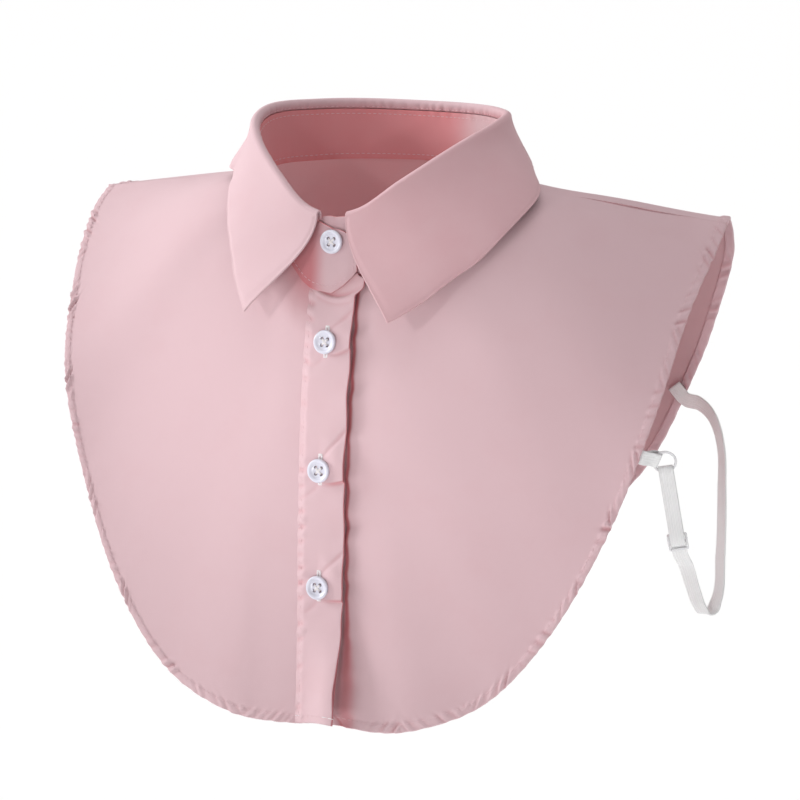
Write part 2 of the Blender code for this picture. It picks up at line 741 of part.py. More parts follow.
def main():
    for old in list(bpy.data.objects):
        bpy.data.objects.remove(old, do_unlink=True)
    collection = bpy.data.collections.new("detachable_collar")
    cutters = bpy.data.collections.new("cutters")
    for made in (collection, cutters):
        bpy.context.scene.collection.children.link(made)
    cutters.hide_render = True
    parent = bpy.data.objects.new("collar_origin", None)
    collection.objects.link(parent)
    looks = {
        "cotton": material("pink_cotton", (0.80, 0.52, 0.55), 0.85),
        "button": material("button_plastic", (0.82, 0.80, 0.86), 0.35),
        "elastic": material("white_elastic", (0.86, 0.86, 0.86), 0.80),
        "fitting": material("white_plastic", (0.88, 0.88, 0.90), 0.30),
    }
    cloth_pieces(looks, collection, parent)
    buttons(looks, collection, cutters, parent)
    fittings(1, "left", looks, collection, parent)
    fittings(-1, "right", looks, collection, parent)


if __name__ == "__main__":
    main()
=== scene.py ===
"""Detachable shirt collar in pink cotton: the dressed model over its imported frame.

Metres, +Z up. -Y is the wearer's front and +X the wearer's left, as in the part.
"""

import bmesh
import bpy
import numpy as np
from bpy.props import FloatProperty, FloatVectorProperty, PointerProperty
from mathutils import Matrix, Vector


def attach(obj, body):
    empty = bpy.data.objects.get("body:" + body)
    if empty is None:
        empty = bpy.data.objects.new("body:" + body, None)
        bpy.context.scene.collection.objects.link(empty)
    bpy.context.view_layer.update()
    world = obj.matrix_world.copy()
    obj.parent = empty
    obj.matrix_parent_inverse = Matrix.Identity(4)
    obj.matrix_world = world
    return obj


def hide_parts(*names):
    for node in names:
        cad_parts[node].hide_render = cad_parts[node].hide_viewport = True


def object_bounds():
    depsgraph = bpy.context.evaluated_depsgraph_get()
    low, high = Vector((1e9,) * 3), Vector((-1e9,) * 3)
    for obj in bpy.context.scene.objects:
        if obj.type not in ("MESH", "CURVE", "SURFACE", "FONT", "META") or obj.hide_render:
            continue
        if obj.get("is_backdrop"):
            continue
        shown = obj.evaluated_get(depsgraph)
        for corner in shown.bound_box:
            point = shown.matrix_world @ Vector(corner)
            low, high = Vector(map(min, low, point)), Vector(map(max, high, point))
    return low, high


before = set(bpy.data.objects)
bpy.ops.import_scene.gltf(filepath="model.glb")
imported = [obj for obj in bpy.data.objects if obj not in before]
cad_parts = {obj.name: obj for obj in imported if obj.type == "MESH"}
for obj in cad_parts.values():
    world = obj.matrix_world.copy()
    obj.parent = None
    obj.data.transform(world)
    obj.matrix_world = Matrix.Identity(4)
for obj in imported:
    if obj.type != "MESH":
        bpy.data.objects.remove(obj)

bl_info = {
    "name": "Detachable Shirt Collar",
    "version": (1, 0, 0),
    "blender": (4, 5, 0),
    "location": "3D View > Sidebar > Collar",
    "description": "Builds a buttoned cotton collar with bibs, stitching and elastic straps",
    "category": "Add Mesh",
}

CAD_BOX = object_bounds()

# Neck and collar, as in the part
NECK_WIDTH = 0.123
NECK_DEPTH = 0.090
NECK_FORWARD = 0.004
COLLAR_HEIGHT = 0.028
COLLAR_DROP = 0.043
SEAM_LEVEL = 0.009
ROOT_DEPTH = 0.0045
ROLL_RADIUS = 0.0018
LEAF_SPREAD = 0.0066
STAND_CORNER = 0.013

# Bibs
BIB_WIDTH = 0.334
FRONT_LENGTH = 0.248
BACK_LENGTH = 0.185
CHEST_REACH = 0.066
BACK_REACH = 0.073
PLACKET_WIDTH = 0.0245
EDGE_LIFT = 0.0080
LIFT_START = 0.70
HEM_WIDTH = 0.0045

# Thickness that the solids take, which places the layers
CLOTH = 0.0010
HEM_THICKNESS = 0.0020
STAND_THICKNESS = 0.0018
PLACKET_THICKNESS = 0.0013
CLEARANCE = 0.0003
OVERLAP = PLACKET_WIDTH / 2 - 2 * CLEARANCE
LAYER_STEP = CLOTH + CLEARANCE

# Buttons
BUTTON_DIAMETER = 0.0114
BUTTON_THICKNESS = 0.0024
BUTTON_HOLE = 0.0017
BUTTON_HOLE_PITCH = 0.0030
STAND_BUTTON_SHARE = 0.70
PLACKET_BUTTON_SHARES = (0.137, 0.422, 0.687)

# Elastic straps and their fittings
ELASTIC_WIDTH = 0.0068
ELASTIC_THICKNESS = 0.0009
RING_BORE = 0.0092
RING_WIRE = 0.0012
SLIDER_BAR = 0.0011
SLIDER_SLOT = 0.0028
SLIDER_THICKNESS = 0.0012
DOUBLED_LENGTH = 0.0432
STRAP_DROP = 0.076
TAB_LENGTH = 0.0145
RIGHT_SIDE_OUT = (-0.20, 0.35)
TAB_ROW = 5.65
SEWN_ROW = 13.34
SEWN_LENGTH = 0.0075
GRIP_LENGTH = 0.0032
TAB_WAY = (0.48, 0.84, -0.23)
HANG_WAY = (0.00, 0.35, -0.90)
HANG_WIDTH = (0.90, 0.33, 0.28)
RIGHT_TAB_WAY = (-0.15, 0.93, -0.30)
RIGHT_HANG_WAY = (-0.10, 0.32, -0.94)
RIGHT_HANG_WIDTH = (0.35, 0.85, 0.30)

FULL_TURN = 360.0

SEAM_ROWS = np.array([
    # angle, drop
    (0, 1.060), (12, 0.960), (30, 0.640), (60, 0.220), (90, 0.010), (130, -0.050), (180, -0.070),
])
HEIGHT_ROWS = np.array([
    # angle, height
    (0, 1.060), (45, 1.020), (90, 1.010), (180, 0.953),
])
FRONT_RAYS = np.array([
    # row, neck angle, edge x, edge y, edge z, swell y, swell z
    (0, 0, 0.000, -1.000, -1.000, -0.090, 0.000),
    (1, 11, 0.077, -1.002, -1.004, -0.090, 0.000),
    (2, 19, 0.287, -1.025, -0.995, -0.095, 0.005),
    (3, 29, 0.517, -0.931, -0.928, -0.105, 0.010),
    (4, 41, 0.703, -0.822, -0.782, -0.115, 0.030),
    (5, 54, 0.848, -0.671, -0.586, -0.130, 0.060),
    (6, 66, 0.948, -0.515, -0.382, -0.130, 0.085),
    (7, 78, 0.990, -0.188, -0.200, -0.095, 0.080),
    (8, 87, 1.012, 0.148, -0.090, -0.040, 0.025),
    (9, 95, 1.006, 0.390, -0.038, 0.000, -0.020),
])
BACK_RAYS = np.array([
    # row, neck angle, edge x, edge y, edge z, swell y, swell z
    (0, 95, 1.006, 0.352, -0.051, 0.000, -0.018),
    (1, 102, 0.970, 0.597, -0.056, 0.030, -0.010),
    (2, 111, 0.961, 0.690, -0.150, 0.070, 0.020),
    (3, 121, 0.893, 0.777, -0.316, 0.110, 0.050),
    (4, 132, 0.814, 0.879, -0.461, 0.140, 0.060),
    (5, 144, 0.677, 0.890, -0.703, 0.165, 0.050),
    (6, 156, 0.509, 0.932, -0.854, 0.180, 0.030),
    (7, 168, 0.275, 0.973, -0.962, 0.185, 0.014),
    (8, 180, 0.000, 1.000, -1.000, 0.185, 0.000),
])
SHOULDER_ROW = FRONT_RAYS[-1, 0]
LAST_ROW = SHOULDER_ROW + BACK_RAYS[-1, 0]
LEAF_ROWS = np.array([
    # along, fold angle, bib row, left share, right share, stand-off
    (0.00, 6, 2.81, 0.165, 0.162, 0.650),
    (0.06, 13, 3.64, 0.173, 0.149, 0.440),
    (0.14, 25, 4.49, 0.185, 0.125, 0.290),
    (0.22, 38, 5.39, 0.220, 0.110, 0.205),
    (0.29, 50, 6.22, 0.244, 0.100, 0.195),
    (0.37, 64, 7.00, 0.262, 0.105, 0.190),
    (0.46, 79, 7.60, 0.245, 0.149, 0.205),
    (0.55, 94, 8.70, 0.172, 0.172, 0.205),
    (0.68, 118, 10.97, 0.100, 0.153, 0.240),
    (0.84, 150, 13.90, 0.074, 0.109, 0.215),
    (1.00, 180, 17.00, 0.082, 0.082, 0.120),
])
STRAP_ROWS = [
    # across, down, out, width x, width y, width z
    (0.341, 0.790, 0.108, 0.95, 0.20, 0.15),
    (0.410, 0.961, 0.147, 1.00, 0.05, 0.05),
    (0.447, 1.069, 0.181, 1.00, 0.00, 0.00),
    (0.490, 1.131, 0.216, 1.00, -0.05, 0.00),
    (0.518, 1.124, 0.253, 0.98, -0.15, 0.00),
    (0.541, 1.061, 0.283, 0.92, -0.35, 0.00),
    (0.588, 0.794, 0.301, 0.87, -0.48, 0.05),
    (0.635, 0.402, 0.301, 0.80, -0.50, 0.30),
    (0.706, 0.178, 0.285, 0.65, -0.45, 0.60),
    (0.800, 0.048, 0.227, 0.45, -0.30, 0.85),
    (0.940, -0.013, 0.096, 0.25, -0.15, 0.95),
]


def length_value(name, description, default, least):
    return FloatProperty(name=name, description=description, default=default, min=least,
                         unit="LENGTH")


class CollarSizes(bpy.types.PropertyGroup):
    """Sizes of the cloth's finer detail."""
    cloth: length_value("Cloth", "Thickness of one layer of cotton", 0.00035, 0.0001)
    hem_roll: length_value("Hem roll", "Radius of the hem's folded edge", 0.00055, 0.0002)
    pucker: length_value("Pucker", "Height of the gathers along a sewn hem", 0.00062, 0.0)
    stitch: length_value("Stitch", "Length of one stitch with its gap", 0.0030, 0.001)
    thread: length_value("Thread", "Thickness of the sewing thread", 0.00034, 0.0001)


def colour_value(name, description, default):
    return FloatVectorProperty(name=name, description=description, default=default, subtype="COLOR")


class CollarColours(bpy.types.PropertyGroup):
    """Colours of the materials, linear."""
    cotton: colour_value("Cotton", "Outer face of the cotton", (0.625, 0.432, 0.462))
    # A shaded copy of the cotton for the inner face: a little darker, as painted shade.
    cotton_inner_shaded: colour_value("Cotton inside", "Inner face of the cotton", (0.615, 0.415, 0.438))
    # Painted shade colour: the shade attribute mixes the cotton towards it in creases, hollows, gaps and
    # cast shadows.
    crease: colour_value("Crease", "Cotton deep inside a crease or seam", (0.480, 0.120, 0.135))
    # Painted shade colour for the inner face: the inside attribute mixes it in, most near the neck, in
    # place of the shade and bounced light there.
    inside_shade: colour_value("Glow", "Cotton where light comes through to its inner face",
                       (0.690, 0.175, 0.185))
    tack: colour_value("Tack thread", "White thread at the buttonholes", (0.80, 0.76, 0.77))
    button: colour_value("Button", "Button plastic", (0.66, 0.65, 0.74))
    elastic: colour_value("Elastic", "Woven elastic", (0.86, 0.86, 0.865))
    fitting: colour_value("Fitting", "Ring and slider plastic", (0.88, 0.88, 0.90))


def sizes():
    return bpy.context.scene.collar_sizes


def colours():
    return bpy.context.scene.collar_colours


# Shape of the part, worked out for many places at once

def smooth(rows, column, at):
    """Values of a table's column at places in its first column, on a curve through the rows."""
    places, values = rows[:, 0], rows[:, column]
    steps = np.diff(places)
    slopes = np.diff(values) / steps
    inner = (slopes[:-1] * steps[1:] + slopes[1:] * steps[:-1]) / (steps[1:] + steps[:-1])
    tangents = np.concatenate([slopes[:1], inner, slopes[-1:]])
    at = np.clip(at, places[0], places[-1])
    index = np.clip(np.searchsorted(places, at, side="right") - 1, 0, len(steps) - 1)
    share = (at - places[index]) / steps[index]
    bend_in, bend_out = tangents[index] * steps[index], tangents[index + 1] * steps[index]
    return (values[index] * (1 + 2 * share) * (1 - share) ** 2 + bend_in * share * (1 - share) ** 2
            + values[index + 1] * share ** 2 * (3 - 2 * share)
            - bend_out * share ** 2 * (1 - share))


def ease(value):
    value = np.clip(value, 0.0, 1.0)
    return value * value * (3 - 2 * value)


def hump(off, width):
    """1 at no distance off, and nearly 0 from two widths on."""
    return np.exp(-(off / width) ** 2)


def unit(vectors):
    vectors = np.asarray(vectors, float)
    return vectors / np.linalg.norm(vectors, axis=-1, keepdims=True)


def stack(x, y, z):
    return np.stack(np.broadcast_arrays(x, y, z), axis=-1).astype(float)


def wave(at, shortest, longest, seed):
    """A smooth irregular wave of about -1 to 1 along a length, the same each run."""
    random = np.random.default_rng(seed)
    total = 0.0
    for length, turn in zip(random.uniform(shortest, longest, 5), random.random(5)):
        total = total + np.sin(2 * np.pi * (at / length + turn))
    return total / 2.6


def hollows(height, reach):
    """How far each place of a relief lies below its neighbours within reach rows and columns."""
    level = height
    for axis in (0, 1):
        wide = [(reach, reach) if number == axis else (0, 0) for number in range(2)]
        total = np.cumsum(np.pad(level, wide, mode="edge"), axis=axis)
        total = np.insert(total, 0, 0.0, axis=axis)
        size = 2 * reach + 1
        count = level.shape[axis]
        level = (np.take(total, np.arange(size, size + count), axis=axis)
                 - np.take(total, np.arange(count), axis=axis)) / size
    return np.maximum(level - height, 0)


def neck_ring(angle):
    turn = np.radians(angle)
    return stack(NECK_WIDTH / 2 * np.sin(turn), -NECK_FORWARD - NECK_DEPTH / 2 * np.cos(turn), 0)


def neck_outward(angle):
    turn = np.radians(angle)
    return unit(stack(NECK_DEPTH * np.sin(turn), -NECK_WIDTH * np.cos(turn), 0))


def from_front(angle):
    angle = np.abs(angle) % FULL_TURN
    return np.minimum(angle, FULL_TURN - angle)


def seam_height(angle):
    return SEAM_LEVEL - COLLAR_DROP * smooth(SEAM_ROWS, 1, from_front(angle))


def collar_height(angle):
    return COLLAR_HEIGHT * smooth(HEIGHT_ROWS, 1, from_front(angle))


def bib_point(row, share):
    """Bib's middle surface on the wearer's left: rows 0 to 9 front, 9 to 17 back."""
    row, share = np.broadcast_arrays(np.asarray(row, float), np.asarray(share, float))
    made = []
    for rays, reach, length, first in ((FRONT_RAYS, CHEST_REACH, FRONT_LENGTH, 0),
                                       (BACK_RAYS, BACK_REACH, BACK_LENGTH, SHOULDER_ROW)):
        angle, x, y, z, swell_y, swell_z = (smooth(rays, column, row - first)
                                            for column in range(1, 7))
        edge = stack(x * BIB_WIDTH / 2, y * reach, z * length)
        swell = stack(0 * x, swell_y * reach, swell_z * reach)
        start = neck_ring(angle)
        start[..., 2] = seam_height(angle) - CLEARANCE - HEM_THICKNESS / 2
        part = share[..., None]
        made.append(start + (edge - start) * part + swell * 6.75 * part * (1 - part) ** 2)
    return np.where((row <= SHOULDER_ROW)[..., None], made[0], made[1])


def bib_normal(row, share):
    step = 0.02
    low, high = np.clip(share - step, 0, 1), np.clip(share + step, 0, 1)
    along = bib_point(row, high) - bib_point(row, low)
    across = (bib_point(np.clip(row + step, 0, LAST_ROW), share)
              - bib_point(np.clip(row - step, 0, LAST_ROW), share))
    return unit(np.cross(along, across))


def centre_strip(x, share):
    """Point of the centre front's middle surface, x to the wearer's left."""
    middle, side = bib_point(0, share), bib_point(1, share)
    part = (x / side[..., 0])[..., None]
    point = middle + (side - middle) * part ** 2
    point[..., 0] = x
    return point


def front_surface(place, share):
    """A front's middle surface: place 0 to 1 from its free edge to the first ray, then rows."""
    place, share = np.broadcast_arrays(np.asarray(place, float), np.asarray(share, float))
    x = -OVERLAP + (bib_point(1, share)[..., 0] + OVERLAP) * np.clip(place, 0, 1)
    return np.where((place < 1)[..., None], centre_strip(x, share),
                    bib_point(np.maximum(place, 1), share))


def surface_normal(surface, place, share):
    step = 0.01
    low, high = np.clip(share - step, 0, 1), np.clip(share + step, 0, 1)
    along = surface(place, high) - surface(place, low)
    across = surface(place + step, share) - surface(place - step, share)
    return unit(np.cross(along, across))


def strip_normal(share):
    return unit(bib_normal(0.5, share) * np.array([0, 1, 1]))


def strip_point(x, share, off):
    """Point of the centre front, x to the wearer's left and off outwards."""
    x, share = np.broadcast_arrays(np.asarray(x, float), np.asarray(share, float))
    return centre_strip(x, share) + strip_normal(share) * np.asarray(off)[..., None]


def lifted(share):
    """How much of the lift at the bottom of the fronts a place has, from 0 to 1."""
    return ease((share - LIFT_START) / (1 - LIFT_START))


def edge_lift(x, share):
    """How far the lower end of the right front stands off at its free edge, x towards that edge."""
    return EDGE_LIFT * lifted(share) * ease(x / PLACKET_WIDTH + 0.5)


def stand_lift(angle):
    return (STAND_THICKNESS + CLEARANCE) * (1 - ease((-angle - 14) / 30))


def stand_ends():
    end = np.degrees(np.arcsin(OVERLAP / (NECK_WIDTH / 2)))
    return end, -FULL_TURN - end


def stand_point(angle, v):
    first, last = stand_ends()
    from_end = np.radians(np.minimum(first - angle, angle - last)) * NECK_WIDTH / 2
    inset = np.maximum(STAND_CORNER - from_end, 0.0)
    height = collar_height(angle) - ROOT_DEPTH
    height = height - STAND_CORNER + np.sqrt(np.maximum(STAND_CORNER ** 2 - inset ** 2, 0))
    point = neck_ring(angle) + neck_outward(angle) * stand_lift(angle)[..., None]
    point[..., 2] = seam_height(angle) + height * v
    return point


def leaf_frame(along, side):
    """The leaf's fold and lower edge at places along it: crest, outward, start and end of the fall."""
    fold, row, left, right, off = (smooth(LEAF_ROWS, column, along) for column in range(1, 6))
    share = np.where(side < 0, right, left)
    first = np.degrees(np.arcsin(LEAF_SPREAD / (NECK_WIDTH / 2)))
    fold = np.maximum(fold, first)
    angle = np.where(side < 0, -fold, fold - FULL_TURN)
    crest = neck_ring(angle) + neck_outward(angle) * stand_lift(angle)[..., None]
    crest[..., 2] = seam_height(angle) + collar_height(angle)
    end = bib_point(row, share) + bib_normal(row, share) * (off * COLLAR_HEIGHT)[..., None]
    end[..., 0] *= side
    return crest, neck_outward(angle), end


# Making of pieces

WELD = 0.000001             # points this near each other are one


def place_object(name, data):
    made = bpy.data.objects.new(name, data)
    bpy.context.scene.collection.objects.link(made)
    return made


def lay_grid(name, points, shade, looks, wall=0.0, split=False, inside=None):
    """A sheet from a grid of places, rows by columns, with thread directions as its UV in mm.

    shade is the painted shade at each place, from 0 for the cloth's own colour up to 1 for
    its deepest. With split, the inner face takes the second material, with inside as its own painted
    shade.
    """
    rows, columns = points.shape[0] - 1, points.shape[1] - 1
    shape = bmesh.new()
    bmesh.ops.create_grid(shape, x_segments=columns, y_segments=rows, size=0.5)
    mesh = bpy.data.meshes.new(name)
    shape.to_mesh(mesh)
    shape.free()
    flat = np.empty(len(mesh.vertices) * 3, np.float32)
    mesh.vertices.foreach_get("co", flat)
    flat = flat.reshape(-1, 3)
    column = np.rint((flat[:, 0] + 0.5) * columns).astype(int)
    row = np.rint((flat[:, 1] + 0.5) * rows).astype(int)
    mesh.vertices.foreach_set("co", points[row, column].astype(np.float32).ravel())
    steps = np.linalg.norm(np.diff(points, axis=1), axis=2)
    across = np.concatenate([np.zeros((rows + 1, 1)), np.cumsum(steps, axis=1)], axis=1)
    steps = np.linalg.norm(np.diff(points, axis=0), axis=2)
    along = np.concatenate([np.zeros((1, columns + 1)), np.cumsum(steps, axis=0)], axis=0)
    threads = np.stack([across, along], axis=-1)[row, column] * 1000
    corner = np.empty(len(mesh.loops), np.int32)
    mesh.loops.foreach_get("vertex_index", corner)
    layer = mesh.uv_layers.new(name="threads")
    layer.data.foreach_set("uv", threads[corner].astype(np.float32).ravel())
    for attribute, values in (("shade", shade), ("inside", shade if inside is None else inside)):
        depth = mesh.attributes.new(attribute, "FLOAT", "POINT")
        depth.data.foreach_set("value", np.broadcast_to(values, points.shape[:2])[row, column]
                               .astype(np.float32))
    for cover in looks:
        mesh.materials.append(cover)
    mesh.shade_smooth()
    made = place_object(name, mesh)
    if wall:
        layer = made.modifiers.new("Cloth", "SOLIDIFY")
        layer.thickness = wall
        layer.offset = 0
        if split:
            layer.material_offset = 1
    return made


def finish_piece(made, slot, *nodes):
    """The piece rides on the part's one body and stands for these nodes."""
    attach(made, "root")
    if nodes:
        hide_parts(*nodes)


def piece_from(name, shape, looks, smooth_faces=True):
    mesh = bpy.data.meshes.new(name)
    shape.to_mesh(mesh)
    shape.free()
    for cover in looks:
        mesh.materials.append(cover)
    if smooth_faces:
        mesh.shade_smooth()
    return place_object(name, mesh)


def finished_mesh(made):
    """The mesh that an object's outline or modifiers come to. The object itself goes."""
    bpy.context.view_layer.update()
    mesh = bpy.data.meshes.new_from_object(made.evaluated_get(
        bpy.context.evaluated_depsgraph_get()))
    bpy.data.objects.remove(made, do_unlink=True)
    return mesh


def round_edges(made, width, least_turn):
    """A narrow rounding on the edges that turn by more than least_turn degrees."""
    edge = made.modifiers.new("Edge", "BEVEL")
    edge.width = width
    edge.segments = 2
    edge.limit_method = "ANGLE"
    edge.angle_limit = np.radians(least_turn)


def spin_round(shape, outline, steps):
    """An outline turned once about Z, closed and facing outwards."""
    bmesh.ops.spin(shape, geom=outline, cent=(0, 0, 0), axis=(0, 0, 1), angle=2 * np.pi,
                   steps=steps, use_merge=True)
    bmesh.ops.remove_doubles(shape, verts=shape.verts, dist=WELD)
    bmesh.ops.recalc_face_normals(shape, faces=shape.faces)


def frame_matrix(point, x, z):
    """A placement at point with local Z along z and local X as near x as it can be."""
    z = Vector(z).normalized()
    x = Vector(x)
    x = (x - z * x.dot(z)).normalized()
    y = z.cross(x)
    made = Matrix((x, y, z)).transposed().to_4x4()
    made.translation = Vector(point)
    return made


def run_length(line):
    steps = np.linalg.norm(np.diff(line, axis=0), axis=1)
    return np.concatenate([[0], np.cumsum(steps)])


STITCHES_AT_ONCE = 30       # a small shape takes new faces faster than a large one


def pour(few, shape):
    """Adds a small shape's faces to a larger one, and gives back a new empty shape."""
    mesh = bpy.data.meshes.new("few")
    few.to_mesh(mesh)
    few.free()
    shape.from_mesh(mesh)
    bpy.data.meshes.remove(mesh)
    return bmesh.new()


def add_strand(shape, place, half_sizes, segments, rings):
    """One rounded strand of thread, its length along the place's own X."""
    bmesh.ops.create_uvsphere(shape, u_segments=segments, v_segments=rings, radius=1,
                              matrix=place @ Matrix.Diagonal((*half_sizes, 1))
                              @ Matrix.Rotation(np.pi / 2, 4, "Y"))


def add_stitches(shape, line, normals, pitch, thickness, share=0.72):
    """Threads laid end to end along a line on the cloth, each dipping into it at both ends."""
    places = run_length(line)
    count = max(int(places[-1] / pitch), 1)
    few = bmesh.new()
    for number in range(count):
        if number % STITCHES_AT_ONCE == STITCHES_AT_ONCE - 1:
            few = pour(few, shape)
        at = (number + 0.5) * places[-1] / count
        point, normal, ahead, behind = (
            np.array([np.interp(place, places, values[:, axis]) for axis in range(3)])
            for place, values in ((at, line), (at, normals), (at + pitch / 2, line),
                                  (at - pitch / 2, line)))
        add_strand(few, frame_matrix(point, ahead - behind, normal),
                   (pitch * share / 2, thickness / 2, thickness / 2), 8, 4)
    pour(few, shape).free()


# Bibs

HEM_ZONE = 0.0110           # cloth near the edge that gets rows of its own
MAIN_ROWS = 70
TUCK = 0.0030               # cloth that runs up behind the stand
SEAM_INSET = HEM_WIDTH - 0.0005
SEAM_GROOVE = 0.00030       # how deep the stitches pull the hem in
HEM_GATHERS = (0.0036, 0.0078)
RIM_ZONE = 0.0060           # cloth near the edge whose length varies a little
SEAM_GAP = 0.0008           # rows left out at each side of the shoulder seam


def hem_lines():
    """Distance in from the edge and depth below the outer layer, for the rows of the hem."""
    roll = sizes().hem_roll
    outer = np.linspace(HEM_ZONE, roll, 14)[1:]
    bend = np.radians(np.linspace(0, 180, 7))[1:]
    inner = np.linspace(roll, HEM_WIDTH, 6)[1:]
    inset = np.concatenate([outer, roll * (1 - np.sin(bend)), inner])
    depth = np.concatenate([0 * outer, roll * (1 - np.cos(bend)), 2 * roll + 0 * inner])
    depth[-1] = roll
    return inset, depth


def bib_layout(surface, places):
    """Shares, distances in from the edge and depths for a bib's grid, and its hem's run."""
    inset, depth = hem_lines()
    edge, root = surface(places, 1.0), surface(places, 0.0)
    length = np.linalg.norm(edge - root, axis=1)
    part = np.concatenate([[-2, -1], np.arange(MAIN_ROWS - 1)])[:, None] / (MAIN_ROWS - 2)
    main = HEM_ZONE + (length - HEM_ZONE)[None, :] * (1 - np.maximum(part, 0))
    main = main + TUCK * np.maximum(-part, 0) * (MAIN_ROWS - 2) / 2
    inset = np.concatenate([main, np.broadcast_to(inset[:, None], (len(inset), len(places)))])
    depth = np.concatenate([np.zeros(MAIN_ROWS + 1), depth])[:, None]
    return 1 - inset / length[None, :], inset, depth, run_length(edge)


def tucked(surface, places, share):
    """The bib's surface with its top end turned straight up behind the stand."""
    flat = surface(places, np.maximum(share, 0))
    length = np.linalg.norm(surface(places[:1], 1.0) - surface(places[:1], 0.0), axis=-1)
    flat[..., 2] += np.maximum(-share, 0) * length
    return flat


def hem_relief(run, inset, depth, seed):
    """Height of the hem above the plain cloth, and its painted shade in the hollows of its gathers."""
    roll, pucker = sizes().hem_roll, sizes().pucker
    bulk = roll * 0.85 * ease((HEM_WIDTH + 0.0004 - inset) / 0.0012)
    groove = -SEAM_GROOVE * hump(inset - SEAM_INSET, 0.00045)
    lean = run[None, :] + inset * 0.9 * np.sign(wave(run, 0.05, 0.11, seed + 7))[None, :]
    gather = wave(lean, *HEM_GATHERS, seed) * (0.7 + 0.5 * wave(run, 0.02, 0.05, seed + 1))
    inside = ease((HEM_WIDTH + 0.0005 - inset) / 0.0008)
    reach = inside + (1 - inside) * 0.38 * np.exp(-(np.maximum(inset - SEAM_INSET, 0)) / 0.0022)
    height = bulk + groove + pucker * gather * reach - depth
    return height, 0.22 * np.maximum(-gather, 0) * reach


def uneven_edge(surface, grid, share, run, inset, seed):
    """Shift along the cloth that keeps its edge from being a perfect curve."""
    wobble = 0.00012 * wave(run, 0.006, 0.013, seed)[None, :] * ease((RIM_ZONE - inset) / RIM_ZONE)
    along = unit(surface(grid, np.clip(share + 0.01, 0.01, 1))
                 - surface(grid, np.clip(share - 0.01, 0, 1)))
    return along * wobble[..., None]


def hem_seam(points, normal, inset):
    """The line of the hem's stitches on the outer face, and the way out of the cloth there."""
    row = np.argmin(np.abs(inset[MAIN_ROWS:, 0] - SEAM_INSET)) + MAIN_ROWS
    out = normal[row] * (sizes().cloth * 0.5 + sizes().thread * 0.15)
    return points[row] + out, normal[row]


def neck_shade(points):
    """Painted shade on the inner face: most near the neck, least at the sides."""
    reach = np.hypot(points[..., 0], points[..., 1] + NECK_FORWARD) - NECK_WIDTH / 2
    return 0.12 + 0.55 * (1 - ease(reach / 0.075))


def drape(points, seed):
    """Slight hollows and swells of hanging cloth."""
    x, z = points[..., 0], points[..., 2]
    return 0.00035 * (wave(x + 0.4 * z, 0.05, 0.12, seed) + wave(z - 0.5 * x, 0.06, 0.14, seed + 1))


def front_gap(x, share):
    """Hollow of the lower front beside the placket's free edge, x across from centre front."""
    low = ease((share - 0.62) / 0.38)
    depth = 0.0009 + 0.0008 * ease(share / 0.3) + 0.0008 * low
    width = 0.0042 + 0.0030 * low
    hollow = -depth * hump(np.maximum(np.abs(x - 0.0115) - 0.0015, 0), width)
    run = share * FRONT_LENGTH
    ripple = 0.00075 * wave(run, 0.010, 0.022, 31) * np.exp(-(np.maximum(x - 0.013, 0) / 0.0085) ** 1.5)
    return np.where(x > 0.0, hollow + ripple * ease(x / 0.012) * ease(share / 0.15), hollow)


def gap_shade(x, share):
    """Painted shade where the placket's free edge lies over the left front."""
    low = lifted(share)
    from_edge = np.maximum(np.abs(x - PLACKET_WIDTH / 2) - 0.0003, 0)
    return (0.95 - 0.40 * low) * hump(from_edge, 0.0007 + 0.0042 * low)


def make_front(side, word, looks):
    """One front bib: side -1 is the wearer's right, which laps over the left."""
    places = np.concatenate([np.linspace(0, 1, 37)[:-1],
                             np.linspace(1, SHOULDER_ROW - SEAM_GAP, 335)])
    share, inset, depth, run = bib_layout(front_surface, places)
    grid = places[None, :] + 0 * share
    if side < 0:
        share = trimmed(-front_surface(grid, np.maximum(share, 0.0))[..., 0], share)
    base = tucked(front_surface, grid, share)
    normal = surface_normal(front_surface, grid, np.maximum(share, 0.0))
    seed = 3 if side < 0 else 5
    height, shade = hem_relief(run, inset, depth, seed)
    # The inner face's painted shade: the hem's, and more near the neck.
    inside = shade + neck_shade(base)
    x, fallen = base[..., 0], share * FRONT_LENGTH
    strip = ease((x - OVERLAP) / 0.006)
    height = height * (0.35 + 0.65 * strip) + drape(base, seed + 20) * ease(share / 0.1)
    if side < 0:
        height = height + LAYER_STEP * (1 - ease((x - OVERLAP - 2 * CLEARANCE) / PLACKET_WIDTH))
        near = np.exp(-np.maximum(x - OVERLAP, 0) / 0.004) * ease((x - OVERLAP + 0.004) / 0.004)
        height = height + 0.00030 * wave(fallen, 0.006, 0.014, 41) * near
        height = height + edge_lift(-x, share)
        # Painted shade on the right front's free edge under the placket, and beside the placket just below
        # the stand.
        shade = shade + 0.8 * (1 - ease((x + OVERLAP) / 0.0020))
        shade = shade + 0.60 * (hump(fallen, 0.021) * hump(x - 0.016, 0.016))
        neck = np.exp(-fallen / 0.010)
        height = height + 0.0004 * neck * wave(x, 0.004, 0.009, 43)
    else:
        height = height + front_gap(x, share)
        shade = shade + gap_shade(x, share)
    shift = uneven_edge(front_surface, grid, share, run, inset, seed + 2)
    mirror = np.array([side, 1, 1])
    points, normal = (base + normal * height[..., None] + shift) * mirror, normal * mirror
    made = lay_grid("front_%s_cloth" % word, points, np.clip(shade, 0, 1), looks,
                    sizes().cloth, split=True, inside=np.clip(inside, 0, 1))
    if side > 0:
        made.data.flip_normals()
    finish_piece(made, "cotton", "front_" + word)
    return hem_seam(points, normal, inset)


